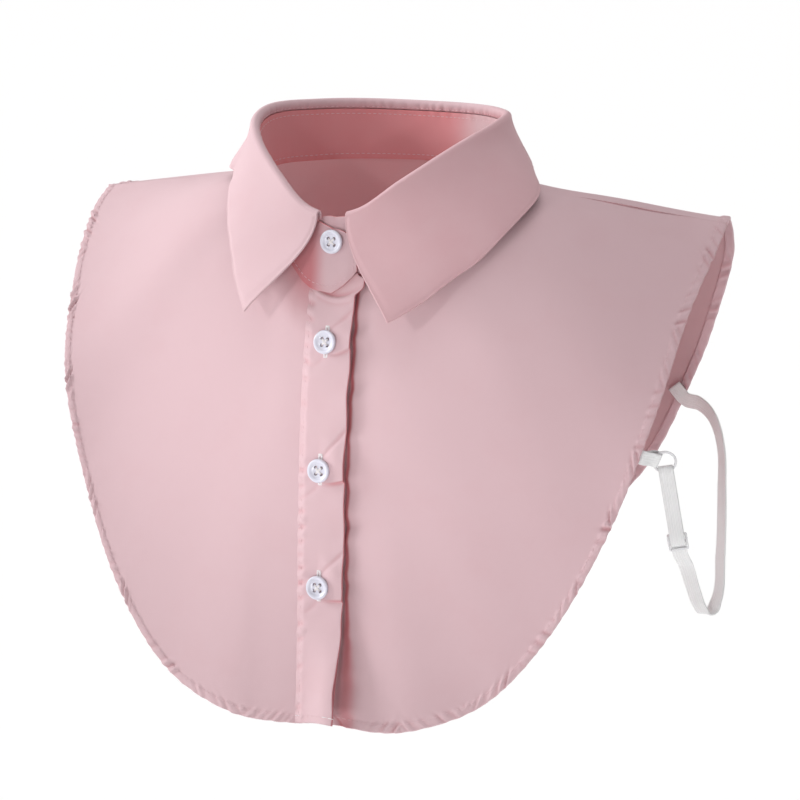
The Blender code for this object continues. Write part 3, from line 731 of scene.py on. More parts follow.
def make_back(looks):
    """The back bib, in one piece from shoulder to shoulder."""
    half = np.linspace(SHOULDER_ROW + SEAM_GAP, LAST_ROW, 216)
    places = np.concatenate([half, half[-2::-1]])
    mirror = np.concatenate([np.ones(len(half)), -np.ones(len(half) - 1)])
    share, inset, depth, run = bib_layout(bib_point, places)
    flip = np.stack([mirror, np.ones_like(mirror), np.ones_like(mirror)], axis=-1)[None]
    run = run_length(bib_point(places, 1.0) * flip[0])
    grid = places[None, :] + 0 * share
    base = tucked(bib_point, grid, share) * flip
    normal = surface_normal(bib_point, np.clip(grid, 9.02, 16.99), np.maximum(share, 0.0))
    normal = np.where(mirror[None, :, None] < 0, normal * np.array([-1, 1, 1]), normal)
    height, shade = hem_relief(run, inset, depth, 9)
    height = height + drape(base, 51) * ease(share / 0.1)
    shift = uneven_edge(bib_point, grid, share, run, inset, 61) * flip
    points = base + normal * height[..., None] + shift
    # Painted shade on the inner face: some near the neck, and a darker band along the hem.
    inside = shade + 0.45 * neck_shade(base) + 0.30 * ease((HEM_WIDTH - inset) / 0.0015)
    made = lay_grid("back_bib_cloth", points, np.clip(shade, 0, 1), looks, sizes().cloth,
                    split=True, inside=np.clip(inside, 0, 1))
    finish_piece(made, "cotton", "back_bib")
    return hem_seam(points, normal, inset)


# Placket

PLACKET_FOLD = 0.00042      # radius of the fold at the free edge
PLACKET_SEAM = -0.84        # where its stitches run, -1 sewn edge to 1 free edge
BAR_INSET = 0.0042
BAR_STITCH = 0.0040
BAR_THREAD = 0.00042
BOTTOM_BARS = (
    # white stitches across the bottom, from and to, -1 sewn edge to 1 free edge
    (-0.98, -0.90), (-0.84, -0.76), (0.55, 1.14),
)
BUTTON_PULLS = [
    # share down the front, crease above, crease below, height
    (0.137, 0.010, 0.0070, 0.0012), (0.422, 0.018, 0.0078, 0.0019), (0.687, 0.016, 0.0078, 0.0018),
]


def placket_relief(part, share):
    """Height and sideways shift of the placket: part -1 at its stitched edge, 1 at its free one."""
    run = share * FRONT_LENGTH
    free = ease((part + 0.1) / 1.1)
    sewn = ease((-0.45 - part) / 0.4)
    height = 0.00045 * wave(run + 0.004 * part, 0.006, 0.014, 71) * sewn
    height = height + 0.00045 * wave(run, 0.022, 0.050, 73) * free
    for centre, above, below, high in BUTTON_PULLS:
        off = run - centre * FRONT_LENGTH
        rise = ease((off + above + 0.010 * (1 - part)) / above) * (off < below)
        drop = 1 - ease((off - below + 0.0010) / 0.0010)
        height = height + high * ease(part / 0.9 + 0.15) * rise * drop
        height = height - 0.0003 * np.exp(-((off / 0.006) ** 2 + ((part - 0.05) / 0.5) ** 2))
        tuck = off + 0.0065 + above * 0.75 * np.maximum(part, 0)
        height = height - 0.00048 * hump(tuck, 0.0022) * ease((part + 0.1) / 0.5)
        tuck = off - 0.0080 - 0.012 * np.maximum(-part, 0)
        height = height - 0.00032 * hump(tuck, 0.0026) * ease((-part + 0.15) / 0.4)
    low = lifted(share)
    height = height + edge_lift(part * PLACKET_WIDTH / 2, share)
    crease = 0.0088 + 0.0026 * part
    over = 1 - ease((run - crease) / 0.0010)
    height = height - 0.00095 * over + 0.0006 * hump(run - crease - 0.0016, 0.0013)
    height = height + 0.0008 * over * ease((part - 0.2) / 0.8) * ease(run / 0.008)
    shift = 0.0003 * wave(run, 0.018, 0.040, 75) * free - 0.0012 * low * free
    shift = shift + 0.0038 * ease((part - 0.2) / 0.8) * ease(run / 0.008) * over
    return height, shift


def placket_height(part):
    """Height of the placket's outer layer above the centre front's middle surface."""
    base = LAYER_STEP + CLOTH / 2 + PLACKET_THICKNESS + CLEARANCE - sizes().cloth
    sewn = 0.0012 * ease((-0.62 - part) / 0.38)
    return base - sewn


def trimmed(x, share):
    """The right front is cut a little shorter towards its lifted free edge, x towards it."""
    return share * (1 - 0.0085 * ease(x / PLACKET_WIDTH + 0.5))


def placket_point(part, share):
    share = trimmed(part * PLACKET_WIDTH / 2, share)
    height, shift = placket_relief(part, share)
    x = part * PLACKET_WIDTH / 2 + shift
    return strip_point(x, share, placket_height(part) + height)


def make_placket(looks):
    outer = np.linspace(-1, 1, 61)
    bend = np.radians(np.linspace(0, 180, 8))[1:]
    inner = np.linspace(1, -0.92, 20)[1:]
    part = np.concatenate([outer, 1 + 0 * bend, inner])
    out = np.concatenate([0 * outer, PLACKET_FOLD * np.sin(bend), 0 * inner])
    depth = np.concatenate([0 * outer, PLACKET_FOLD * (1 - np.cos(bend)),
                            2 * PLACKET_FOLD + 0 * inner])
    share = np.linspace(0.0, 1.0, 361)[:, None]
    grid = part[None, :] + 0 * share
    base = placket_point(grid, share + 0 * grid)
    normal = strip_normal(share[:, 0])[:, None, :]
    points = base - normal * depth[None, :, None]
    points[..., 0] += out[None, :]
    relief = placket_relief(grid, share + 0 * grid)[0]
    # Painted shade in the hollows of the placket's relief, and near its top under the stand.
    shade = 800 * hollows(relief, 4)
    shade = shade + 0.20 * hump(share * FRONT_LENGTH, 0.010)
    # Painted shade on the fold of the free edge and on the inner layer under it.
    shade[:, len(outer) + 1:] = 1.0
    made = lay_grid("placket_cloth", points, np.clip(shade, 0, 0.80), looks, sizes().cloth)
    finish_piece(made, "cotton", "placket")
    line = share[::4, 0] * 0.985 + 0.012
    place = placket_point(PLACKET_SEAM, line) + unit(normal[::4, 0]) * (sizes().cloth * 0.5)
    return place, normal[::4, 0]


# Collar

STAND_LAP = 0.0016          # how far the stand's lower edge comes down over the bibs
STAND_WALL = 0.0014         # two layers and their interlining
LEAF_WALL = 0.0010
ROOT_END = 0.06             # share down the leaf where its root in the stand ends
ROLL_END = 0.16             # and where its fold ends
ROOT_ROWS, ROLL_ROWS, FALL_ROWS = 6, 10, 77
EDGE_ROUNDING = 0.0003
STAND_SEAMS = (
    # share of the stand's height, side out 1 or in -1
    (0.09, 1), (0.09, -1), (0.90, -1),
)
STAND_FRONT_ROWS = np.array([
    # angle, how far the lower edge comes down, how far the top does
    (-374, 0.0000, -0.0040), (-364, 0.0000, -0.0040), (-350, 0.0000, -0.0020),
    (-335, 0.0000, 0.0000), (-325, 0.0000, 0.0000), (-50, 0.0000, 0.0000),
    (-40, 0.0000, 0.0000), (-26, 0.0030, 0.0000),
    (-16, 0.0053, 0.0002), (-10, 0.0068, 0.0006), (-4, 0.0060, 0.0012), (2, 0.0045, 0.0020),
    (6, 0.0024, 0.0024), (12, -0.0030, 0.0022),
])


def dressed_stand(angle, v):
    """The stand as it sits: its front end dips and its lower edge laps the bibs."""
    angle, v = np.broadcast_arrays(np.asarray(angle, float), np.asarray(v, float))
    point = stand_point(angle, v)
    lower, upper = (smooth(STAND_FRONT_ROWS, column, angle) for column in (1, 2))
    point[..., 2] -= lower * (1 - v) + upper * v + STAND_LAP * (1 - v) ** 4
    flare = 0.0025 * np.clip(lower / 0.0060, 0, 1) * (1 - v) ** 1.5
    return point + neck_outward(angle) * flare[..., None]


def make_stand(looks):
    first, last = stand_ends()
    columns, rows = 520, 22
    u = np.linspace(0, 1, columns + 1)[None, :]
    v = np.linspace(0, 1, rows + 1)[:, None]
    angle = first + (last - first) * u + 0 * v
    base = dressed_stand(angle, v + 0 * u)
    run = np.radians(np.abs(angle)) * (NECK_WIDTH + NECK_DEPTH) / 4
    top = np.exp(-((1 - v) * COLLAR_HEIGHT) / 0.0030)
    bottom = np.exp(-(v * COLLAR_HEIGHT) / 0.0030)
    gather = 0.00022 * (wave(run, 0.004, 0.009, 81) * top + wave(run, 0.005, 0.011, 83) * bottom)
    points = base + neck_outward(angle) * gather[..., None]
    # Painted shade along the stand's top and bottom seams and in the hollows of its gathers.
    shade = 0.12 * (top + bottom) + 250 * np.maximum(-gather, 0)
    # Painted shade on the inner face: deep at the back and the wearer's right, none at the wearer's left,
    # where the light falls in.
    side = ease((np.abs(angle + 266) - 50) / 24)
    inside = np.clip(shade + 0.62 * side, 0, 1)
    # Painted shadow of the wearer's right leaf on the front of the stand.
    shade = shade + 0.75 * ease((-2 - angle) / 9) * ease((angle + 42) / 15)
    made = lay_grid("collar_stand_cloth", points, np.clip(shade, 0, 1), looks, STAND_WALL,
                    split=True, inside=inside)
    round_edges(made, EDGE_ROUNDING, 50)
    finish_piece(made, "cotton", "collar_stand")
    angles = np.linspace(first - 4, last + 4, 400)
    runs = [(angles, v + 0 * angles, side) for v, side in STAND_SEAMS]
    v = np.linspace(0.09, 0.90, 30)
    runs.append((first - np.degrees(0.0016 / (NECK_WIDTH / 2)) + 0 * v, v, 1))
    lines = []
    for angles, v, side in runs:
        out = neck_outward(angles) * side
        lines.append((dressed_stand(angles, v) + out * (STAND_WALL / 2 + 0.00005), out))
    return lines


def leaf_points(u, v):
    """The leaf: u from the wearer's right front end round to the left, v from root to edge."""
    u, v = np.broadcast_arrays(u, v)
    along = 1 - np.abs(2 * u - 1)
    side = np.where(u < 0.5, -1, 1)
    crest, outward, end = leaf_frame(along, side)
    up = np.array([0, 0, 1.0])
    part = (v / ROOT_END)[..., None]
    root = crest - up * (ROOT_DEPTH - CLEARANCE) * (1 - part) - up * ROLL_RADIUS * part
    turn = (np.pi * (v - ROOT_END) / (ROLL_END - ROOT_END))[..., None]
    roll = (crest + outward * ROLL_RADIUS * (1 - np.cos(turn))
            - up * ROLL_RADIUS * (1 - np.sin(turn)))
    start = crest + outward * 2 * ROLL_RADIUS - up * ROLL_RADIUS
    fall = ((v - ROLL_END) / (1 - ROLL_END))[..., None]
    reach = np.linalg.norm(end - start, axis=-1, keepdims=True)
    bow_start = start - up * reach * 0.30 + outward * reach * 0.04
    bow_end = end + (start - end) * 0.30 + outward * reach * 0.02
    rest = 1 - fall
    leaf = (start * rest ** 3 + bow_start * 3 * rest ** 2 * fall
            + bow_end * 3 * rest * fall ** 2 + end * fall ** 3)
    v = v[..., None]
    return np.where(v <= ROOT_END, root, np.where(v <= ROLL_END, roll, leaf))


def make_leaf(looks):
    u = np.linspace(0, 1, 401)[None, :]
    v = np.concatenate([np.linspace(0, ROOT_END, ROOT_ROWS + 1)[:-1],
                        np.linspace(ROOT_END, ROLL_END, ROLL_ROWS + 1)[:-1],
                        np.linspace(ROLL_END, 1, FALL_ROWS + 1)])[:, None]
    u, v = np.broadcast_arrays(u, v)
    base = leaf_points(u, v)
    across = np.gradient(base, axis=1)
    down = np.gradient(base, axis=0)
    normal = unit(np.cross(down, across))
    run = run_length(base[40])[None, :]
    fall = np.linalg.norm(base - base[ROOT_ROWS + ROLL_ROWS], axis=-1)
    length = fall[-1][None, :]
    from_end = np.minimum(run, run[:, -1:] - run) + 0 * v
    from_edge = np.maximum(length - fall, 0)
    nearest = np.minimum(from_end, from_edge)
    seam = 0.00036 * hump(nearest - 0.0010, 0.0008) * (v > ROLL_END)
    ripple = 0.00020 * wave(fall, 0.006, 0.012, 91) * np.exp(-from_end / 0.006) * (v > 0.2)
    ripple = ripple + 0.00018 * wave(run, 0.008, 0.016, 93) * np.exp(-from_edge / 0.005) * (v > 0.2)
    root = 0.00028 * wave(run, 0.0035, 0.008, 95) * ease((0.10 - v) / 0.06)
    soft = 0.0005 * wave(run + 0.5 * fall, 0.05, 0.10, 97) * ease((v - 0.2) / 0.3)
    height = seam + ripple + root + soft
    points = base + normal * height[..., None]
    # Painted shade at the leaf's root under the fold and in the hollows of its ripples.
    shade = 0.45 * ease((0.08 - v) / 0.08) + 150 * np.maximum(-ripple - root, 0)
    # Painted shadow over the wearer's left half of the leaf.
    shade = shade + 0.20 * ease((u - 0.55) / 0.15)
    made = lay_grid("collar_leaf_cloth", points, np.clip(shade, 0, 1), looks, LEAF_WALL)
    round_edges(made, EDGE_ROUNDING, 50)
    finish_piece(made, "cotton", "collar_leaf")
    row = 2
    inward = -unit(np.stack([points[row, :, 0], points[row, :, 1], 0 * points[row, :, 0]], -1))
    return points[row] + inward * (LEAF_WALL / 2 + 0.0001), inward


# Buttons and their thread

def facing(point, normal):
    """A placement at point whose local Z is the normal and whose local Y leans upwards."""
    return frame_matrix(point, Vector((0, 0, 1)).cross(Vector(normal)), normal)


def button_places():
    half = STAND_THICKNESS / 2 + CLEARANCE
    normal = neck_outward(0.0)
    places = [facing(stand_point(np.float64(0.0), STAND_BUTTON_SHARE) + normal * half, normal)]
    for share in PLACKET_BUTTON_SHARES:
        off = LAYER_STEP + CLOTH / 2 + PLACKET_THICKNESS + CLEARANCE * 2
        point = strip_point(0.0, share, off)
        places.append(facing(point, point - strip_point(0.0, share, 0.0)))
    return places


BUTTON_FACE = 0.56          # the sunk face, as a share of the thickness
BUTTON_PROFILE = [
    # radius as a share of the button's, height as a share of its thickness
    (0.000, BUTTON_FACE), (0.440, BUTTON_FACE), (0.560, 0.58), (0.640, 0.66), (0.700, 0.80), (0.760, 0.92),
    (0.820, 0.985), (0.880, 1.00), (0.940, 0.97), (0.980, 0.87), (1.000, 0.70), (1.000, 0.46),
    (0.980, 0.28), (0.920, 0.12), (0.820, 0.02), (0.700, 0.00), (0.000, 0.00),
]


def make_button(number, place, cover):
    radius, thick = BUTTON_DIAMETER / 2, BUTTON_THICKNESS
    shape = bmesh.new()
    dots = [shape.verts.new((r * radius, 0, z * thick)) for r, z in BUTTON_PROFILE]
    edges = [shape.edges.new(pair) for pair in zip(dots, dots[1:])]
    spin_round(shape, dots + edges, 72)
    blank = piece_from("button_blank", shape, [cover])
    pegs = bmesh.new()
    for x, y in ((-1, -1), (-1, 1), (1, -1), (1, 1)):
        at = Matrix.Translation((x * BUTTON_HOLE_PITCH / 2, y * BUTTON_HOLE_PITCH / 2, 0))
        bmesh.ops.create_cone(pegs, cap_ends=True, segments=20, radius1=BUTTON_HOLE / 2,
                              radius2=BUTTON_HOLE / 2, depth=thick * 4, matrix=at)
    cutter = piece_from("button_pegs", pegs, [])
    cut = blank.modifiers.new("Holes", "BOOLEAN")
    cut.object = cutter
    mesh = finished_mesh(blank)
    bpy.data.objects.remove(cutter, do_unlink=True)
    mesh.transform(place)
    mesh.shade_smooth()
    made = place_object("button_%d_moulded" % number, mesh)
    round_edges(made, 0.00012, 60)
    finish_piece(made, "buttons", "button_%d" % number)


STRAND_PITCH = 0.00032
STRAND_HALF = (0.00020, 0.00034)
SHANK_DEPTH = 0.0010        # thread between the button and the cloth
SHANK_RADII = (0.0019, 0.0017)


def button_thread(shape, place):
    """Crossed strands over a button's holes, and the shank between it and the cloth."""
    reach = BUTTON_HOLE_PITCH * np.sqrt(2)
    for turn, high in ((45, 0.00010), (-45, 0.00026)):
        for shift in (-STRAND_PITCH, 0.0, STRAND_PITCH):
            at = (place @ Matrix.Rotation(np.radians(turn), 4, "Z")
                  @ Matrix.Translation((0, shift, BUTTON_THICKNESS * BUTTON_FACE + high)))
            add_strand(shape, at, (reach / 2 + 0.0002, *STRAND_HALF), 10, 8)
    bmesh.ops.create_cone(shape, cap_ends=True, segments=12, radius1=SHANK_RADII[0],
                          radius2=SHANK_RADII[1], depth=SHANK_DEPTH + 0.0004,
                          matrix=place @ Matrix.Translation((0, 0, 0.0002 - SHANK_DEPTH / 2)))


SLIT_HALF = 0.0088          # half the length of a buttonhole's stitching
SLIT_GAP = 0.00068          # from its middle to each of its two rows
SLIT_PITCH = 0.00034
SLIT_BAR = 0.0009           # length of the bar at each end


def add_buttonhole(shape, share):
    """Satin stitches up both sides of a buttonhole on the placket, closed by a bar at each end."""
    along = np.arange(-SLIT_HALF, SLIT_HALF, SLIT_PITCH) / FRONT_LENGTH
    under_button = (BUTTON_DIAMETER / 2 - 0.0012) / FRONT_LENGTH
    normal = strip_normal(share)
    for shift in along[np.abs(along) > under_button]:
        at_end = abs(shift) * FRONT_LENGTH > SLIT_HALF - SLIT_BAR
        for side in ((0,) if at_end else (-1, 1)):
            part = side * SLIT_GAP / (PLACKET_WIDTH / 2)
            point = placket_point(np.float64(part), np.float64(share + shift))
            add_strand(shape, frame_matrix(point + normal * 0.00020, (1, 0, 0), normal),
                       (0.00125 if at_end else 0.00056, 0.00019, 0.00026), 8, 5)


# Elastic straps

def curve_through(points, spacing):
    points = np.array(points, float)
    places = run_length(points[:, :3])
    rows = np.column_stack([places, points])
    at = [places[0]]
    for low, high in zip(places, places[1:]):
        parts = max(int(np.ceil((high - low) / spacing)), 1)
        at += [low + (high - low) * (part + 1) / parts for part in range(parts)]
    return np.stack([smooth(rows, column, np.array(at)) for column in range(1, rows.shape[1])], -1)


def mirrored(vector, side):
    return np.array([vector[0] * side, vector[1], vector[2]])


def right_out(share):
    """How far the right strap stands out along its loop, as a share of the left one's."""
    at_ring, at_back = RIGHT_SIDE_OUT
    return at_ring + (at_back - at_ring) * ease(share)


def strap_plan(side):
    """Centre of one side's ring and the directions of its fittings, drawn for the left side."""
    ways = (TAB_WAY, HANG_WAY, HANG_WIDTH)
    if side < 0:
        ways = (RIGHT_TAB_WAY, RIGHT_HANG_WAY, RIGHT_HANG_WIDTH)
    tab, hang, width = (unit(np.array(way)) for way in ways)
    width = unit(width - hang * (width @ hang))
    ring = bib_point(TAB_ROW, 1.0) + tab * TAB_LENGTH
    return ring, hang, width, np.cross(hang, width)


def strap_layout(side):
    ring, down, width, front = strap_plan(side)
    return {
        "ring": mirrored(ring, side),
        "slider": mirrored(ring + down * DOUBLED_LENGTH, side),
        "down": mirrored(down, side),
        "width": mirrored(width, side),
        "front": mirrored(front, side),
    }


def layer_offset():
    return RING_WIRE / 2 + CLEARANCE * 1.7 + ELASTIC_THICKNESS / 2


def ring_turn():
    wire = RING_BORE / 2 + RING_WIRE / 2
    narrow = np.sqrt(wire ** 2 - (ELASTIC_WIDTH / 2) ** 2)
    return narrow - RING_WIRE / 2 - CLEARANCE - ELASTIC_THICKNESS / 2 + layer_offset()


def edge_point(row, inset):
    length = np.linalg.norm(bib_point(row, 1) - bib_point(row, 0))
    if inset >= 0:
        return bib_point(row, 1 - inset / length)
    edge = bib_point(row, 1)
    return edge - unit(edge - bib_point(row, 1 - HEM_WIDTH / length)) * inset


def hem_way(row):
    way = unit(bib_point(row + 0.05, 1) - bib_point(row - 0.05, 1))
    return way if way[2] > 0 else -way


def sewn_point(inset):
    off = HEM_THICKNESS / 2 + CLEARANCE * 1.8 + ELASTIC_THICKNESS / 2
    return edge_point(SEWN_ROW, inset) - bib_normal(SEWN_ROW, 1) * off


def strap_stations(side):
    """The elastic from its sewn end over the slider, up through the ring and round to the back."""
    layout = strap_layout(side)
    off, turn = layer_offset(), ring_turn()
    cross = SLIDER_THICKNESS / 2 + CLEARANCE * 1.5 + ELASTIC_THICKNESS / 2
    above = cross + ELASTIC_THICKNESS + CLEARANCE * 1.5
    bar, pitch = SLIDER_BAR / 2, SLIDER_BAR + SLIDER_SLOT
    middle = DOUBLED_LENGTH
    path = [(middle - bar, above), (middle - pitch, above), (middle - pitch * 2, (above + off) / 2),
            (middle - pitch * 3, off), (middle / 2, off), (turn * 2, off), (turn, off)]
    path += [(turn - off * np.sin(bend), off * np.cos(bend))
             for bend in np.radians((30, 60, 90, 120, 150))]
    path += [(turn, -off), (turn * 2, -off), (middle / 2, -off), (middle - pitch * 2, -cross),
             (middle - pitch - bar, -cross), (middle - pitch + bar, -cross), (middle - bar, cross),
             (middle + bar, cross), (middle + pitch - bar, -cross), (middle + pitch + bar, -cross)]
    width = layout["width"]
    rows = [np.concatenate([layout["ring"] + layout["down"] * d + layout["front"] * t, width])
            for d, t in path]
    across = mirrored(sewn_point(-HEM_THICKNESS), side) - layout["ring"]
    for share, down, out, *lean in STRAP_ROWS:
        out_share = 1 if side > 0 else right_out(share)
        place = layout["ring"] + across * share
        place = place + STRAP_DROP * np.array([side * out * out_share, 0, -down])
        rows.append(np.concatenate([place, mirrored(np.array(lean), side)]))
    for inset in (0.0, SEWN_LENGTH / 2, SEWN_LENGTH):
        rows.append(np.concatenate([mirrored(sewn_point(inset), side),
                                    mirrored(hem_way(SEWN_ROW), side)]))
    return rows


def tab_stations(side):
    ring, down, width, front = strap_plan(side)
    out = unit(-width * 0.87 - down * 0.50)
    across = np.cross(front, out)
    off, turn = layer_offset(), ring_turn()
    normal = bib_normal(TAB_ROW, 1)
    near = HEM_THICKNESS / 2 + CLEARANCE * 2.2 + ELASTIC_THICKNESS / 2
    far = near + ELASTIC_THICKNESS + CLEARANCE * 1.7
    hem = hem_way(TAB_ROW)
    hem = hem if hem @ across > 0 else -hem
    over = unit(np.cross(hem, normal))
    over = over if over @ out < 0 else -over
    edge = bib_point(TAB_ROW, 1.0)
    rows = []
    for layer, depth in ((1, near), (-1, far)):
        side_rows = [
            (edge - normal * depth - over * GRIP_LENGTH, hem),
            (edge - normal * depth, hem),
            (ring + out * turn * 1.15 + front * off * layer, across),
        ]
        rows += side_rows if layer > 0 else side_rows[::-1]
        if layer > 0:
            rows += [(ring + out * (turn - off * np.sin(bend)) + front * off * np.cos(bend),
                      across) for bend in np.radians((0, 30, 60, 90, 120, 150, 180))]
    return [np.concatenate([mirrored(place, side), mirrored(wide, side)]) for place, wide in rows]


RIBS = 5
RIB_HEIGHT = 0.00006


def make_ribbon(name, rows, spacing, cover, *nodes):
    """A woven elastic through its stations, ribbed along its length, with cut ends."""
    dots = curve_through(rows, spacing)
    centre = dots[:, :3]
    run = unit(np.gradient(centre, axis=0))
    wide = unit(dots[:, 3:] - run * (dots[:, 3:] * run).sum(1, keepdims=True))
    out = np.cross(run, wide)
    part = np.linspace(-0.5, 0.5, 25)
    rib = RIB_HEIGHT * np.cos(part * 2 * np.pi * RIBS)
    points = (centre[:, None, :] + wide[:, None, :] * (part * ELASTIC_WIDTH)[None, :, None]
              + out[:, None, :] * rib[None, :, None])
    made = lay_grid(name, points, 0.0, [cover], ELASTIC_THICKNESS * 0.85)
    finish_piece(made, "elastic", *nodes)


def make_ring(word, layout, cover):
    shape = bmesh.new()
    wire = bmesh.ops.create_circle(shape, cap_ends=False, segments=16, radius=RING_WIRE / 2,
                                   matrix=Matrix.Translation(((RING_BORE + RING_WIRE) / 2, 0, 0))
                                   @ Matrix.Rotation(np.pi / 2, 4, "X"))
    edges = {edge for vert in wire["verts"] for edge in vert.link_edges}
    spin_round(shape, wire["verts"] + list(edges), 64)
    bmesh.ops.transform(shape, matrix=frame_matrix(layout["ring"], layout["width"],
                                                   layout["front"]), verts=shape.verts)
    finish_piece(piece_from("ring_%s_moulded" % word, shape, [cover]), "fittings", "ring_" + word)


SLIDER_CORNER = 0.0010
SLOT_CORNER = 0.0003


def make_slider(word, layout, cover):
    """A flat frame with two slots either side of a middle bar, its edges rounded."""
    curve = bpy.data.curves.new("slider_outline", "CURVE")
    curve.dimensions = "2D"
    curve.fill_mode = "BOTH"
    curve.extrude = SLIDER_THICKNESS / 2 - EDGE_ROUNDING
    curve.bevel_depth = EDGE_ROUNDING
    curve.bevel_resolution = 3
    curve.offset = -EDGE_ROUNDING
    slot_x = ELASTIC_WIDTH / 2 + CLEARANCE
    outer_x, outer_y = slot_x + SLIDER_BAR, SLIDER_SLOT + SLIDER_BAR * 1.5
    middle = (SLIDER_SLOT + SLIDER_BAR) / 2
    for half_x, half_y, y, corner in ((outer_x, outer_y, 0, SLIDER_CORNER),
                                      (slot_x, SLIDER_SLOT / 2, middle, SLOT_CORNER),
                                      (slot_x, SLIDER_SLOT / 2, -middle, SLOT_CORNER)):
        dots = []
        for number, (sx, sy) in enumerate(((1, -1), (1, 1), (-1, 1), (-1, -1))):
            for turn in np.radians(np.linspace(-90, 0, 6) + 90 * number):
                dots.append((sx * (half_x - corner) + corner * np.cos(turn),
                             y + sy * (half_y - corner) + corner * np.sin(turn)))
        spline = curve.splines.new("POLY")
        spline.points.add(len(dots) - 1)
        spline.use_cyclic_u = True
        for dot, (dx, dy) in zip(spline.points, dots):
            dot.co = (dx, dy, 0, 1)
    mesh = finished_mesh(place_object("slider_outline", curve))
    bpy.data.curves.remove(curve)
    shape = bmesh.new()
    shape.from_mesh(mesh)
    bpy.data.meshes.remove(mesh)
    bmesh.ops.remove_doubles(shape, verts=shape.verts, dist=0.000002)
    bmesh.ops.transform(shape, matrix=frame_matrix(layout["slider"], layout["width"],
                                                   layout["front"]), verts=shape.verts)
    made = piece_from("slider_%s_moulded" % word, shape, [cover])
    made.modifiers.new("Normals", "WEIGHTED_NORMAL").keep_sharp = True
    finish_piece(made, "fittings", "slider_" + word)


# Materials

def add_node(tree, kind, sockets=None, **settings):
    """A shader node. Each of its sockets is given a value, or the output that feeds it."""
    made = tree.nodes.new(kind)
    for name, value in settings.items():
        setattr(made, name, value)
    for name, value in (sockets or {}).items():
        if isinstance(value, bpy.types.NodeSocket):
            tree.links.new(value, made.inputs[name])
        else:
            made.inputs[name].default_value = value
    return made


def new_material(name, colour, roughness):
    made = bpy.data.materials.new(name)
    made.use_nodes = True
    made.diffuse_color = (*colour, 1)
    shader = made.node_tree.nodes["Principled BSDF"]
    shader.inputs["Base Color"].default_value = (*colour, 1)
    shader.inputs["Roughness"].default_value = roughness
    return made, made.node_tree, shader


def noise(tree, scale, **sockets):
    """Cloudy numbers about 0.5 through the piece."""
    place = add_node(tree, "ShaderNodeTexCoord").outputs["Object"]
    return add_node(tree, "ShaderNodeTexNoise",
                    {"Vector": place, "Scale": scale, **sockets}).outputs["Fac"]


def thread_bands(tree, pitches, **sockets):
    """Bands along and across the piece's threads, with pitches in mm."""
    threads = add_node(tree, "ShaderNodeUVMap", uv_map="threads").outputs["UV"]
    for direction, pitch in zip("XY", pitches):
        yield add_node(tree, "ShaderNodeTexWave",
                       {"Vector": threads, "Scale": 0.314 / pitch, **sockets},
                       wave_type="BANDS", bands_direction=direction).outputs["Fac"]


def mapped(tree, value, low, high, start=0.0, end=1.0):
    """A number from start to end, taken to low to high."""
    return add_node(tree, "ShaderNodeMapRange", {
        "Value": value, "From Min": start, "From Max": end, "To Min": low, "To Max": high,
    }).outputs["Result"]


def bump(tree, height, strength, distance, **sockets):
    return add_node(tree, "ShaderNodeBump", {
        "Height": height, "Strength": strength, "Distance": distance, **sockets,
    }).outputs["Normal"]


def dress(tree, shader, colour, lightness, normal):
    """The shader's colour, lighter or darker by a number, and its bumped normal."""
    lit = add_node(tree, "ShaderNodeVectorMath", {0: colour, "Scale": lightness},
                   operation="SCALE")
    tree.links.new(lit.outputs["Vector"], shader.inputs["Base Color"])
    tree.links.new(normal, shader.inputs["Normal"])


def cotton_material(name, light, deep, depth):
    """Fine plain-woven cotton, slightly mottled, with painted shade where its depth attribute says."""
    made, tree, shader = new_material(name, light, 0.82)
    across, along = thread_bands(tree, (0.26, 0.299), Distortion=0.6, Detail=1.0)
    weave = add_node(tree, "ShaderNodeMath", {0: across, 1: along}, operation="MULTIPLY").outputs[0]
    cloud = noise(tree, 55.0, Detail=4.0, Roughness=0.55)
    normal = bump(tree, weave, 0.30, 0.00005, Normal=bump(tree, cloud, 0.20, 0.0009))
    shade = add_node(tree, "ShaderNodeAttribute", attribute_name=depth).outputs["Fac"]
    mottle = mapped(tree, cloud, -0.03, 0.03, 0.3, 0.7)
    total = add_node(tree, "ShaderNodeMath", {0: shade, 1: mottle}, operation="ADD",
                     use_clamp=True).outputs[0]
    tone = add_node(tree, "ShaderNodeMix", {"Factor": total}, data_type="RGBA")
    ends = (socket for socket in tone.inputs if socket.type == "RGBA")
    for socket, colour in zip(ends, (light, deep)):
        socket.default_value = (*colour, 1)
    mixed = next(socket for socket in tone.outputs if socket.type == "RGBA")
    dress(tree, shader, mixed, mapped(tree, weave, 0.955, 1.02), normal)
    shader.inputs["Sheen Weight"].default_value = 0.12
    shader.inputs["Sheen Roughness"].default_value = 0.5
    shader.inputs["Specular IOR Level"].default_value = 0.25
    return made


def thread_material(name, colour):
    made, tree, shader = new_material(name, colour, 0.7)
    fibre = noise(tree, 2500.0)
    dress(tree, shader, colour, mapped(tree, fibre, 0.9, 1.05), bump(tree, fibre, 0.4, 0.0001))
    return made


def plastic_material(name, colour, roughness, clear=0.0):
    """Moulded plastic with a faint cloud in its colour and a slightly uneven gloss."""
    made, tree, shader = new_material(name, colour, roughness)
    cloud = noise(tree, 260.0, Detail=3.0)
    dress(tree, shader, colour, mapped(tree, cloud, 0.93, 1.05), bump(tree, cloud, 0.12, 0.0002))
    gloss = mapped(tree, cloud, roughness - 0.06, roughness + 0.10)
    tree.links.new(gloss, shader.inputs["Roughness"])
    shader.inputs["Transmission Weight"].default_value = clear
    shader.inputs["Coat Weight"].default_value = 0.25
    return made


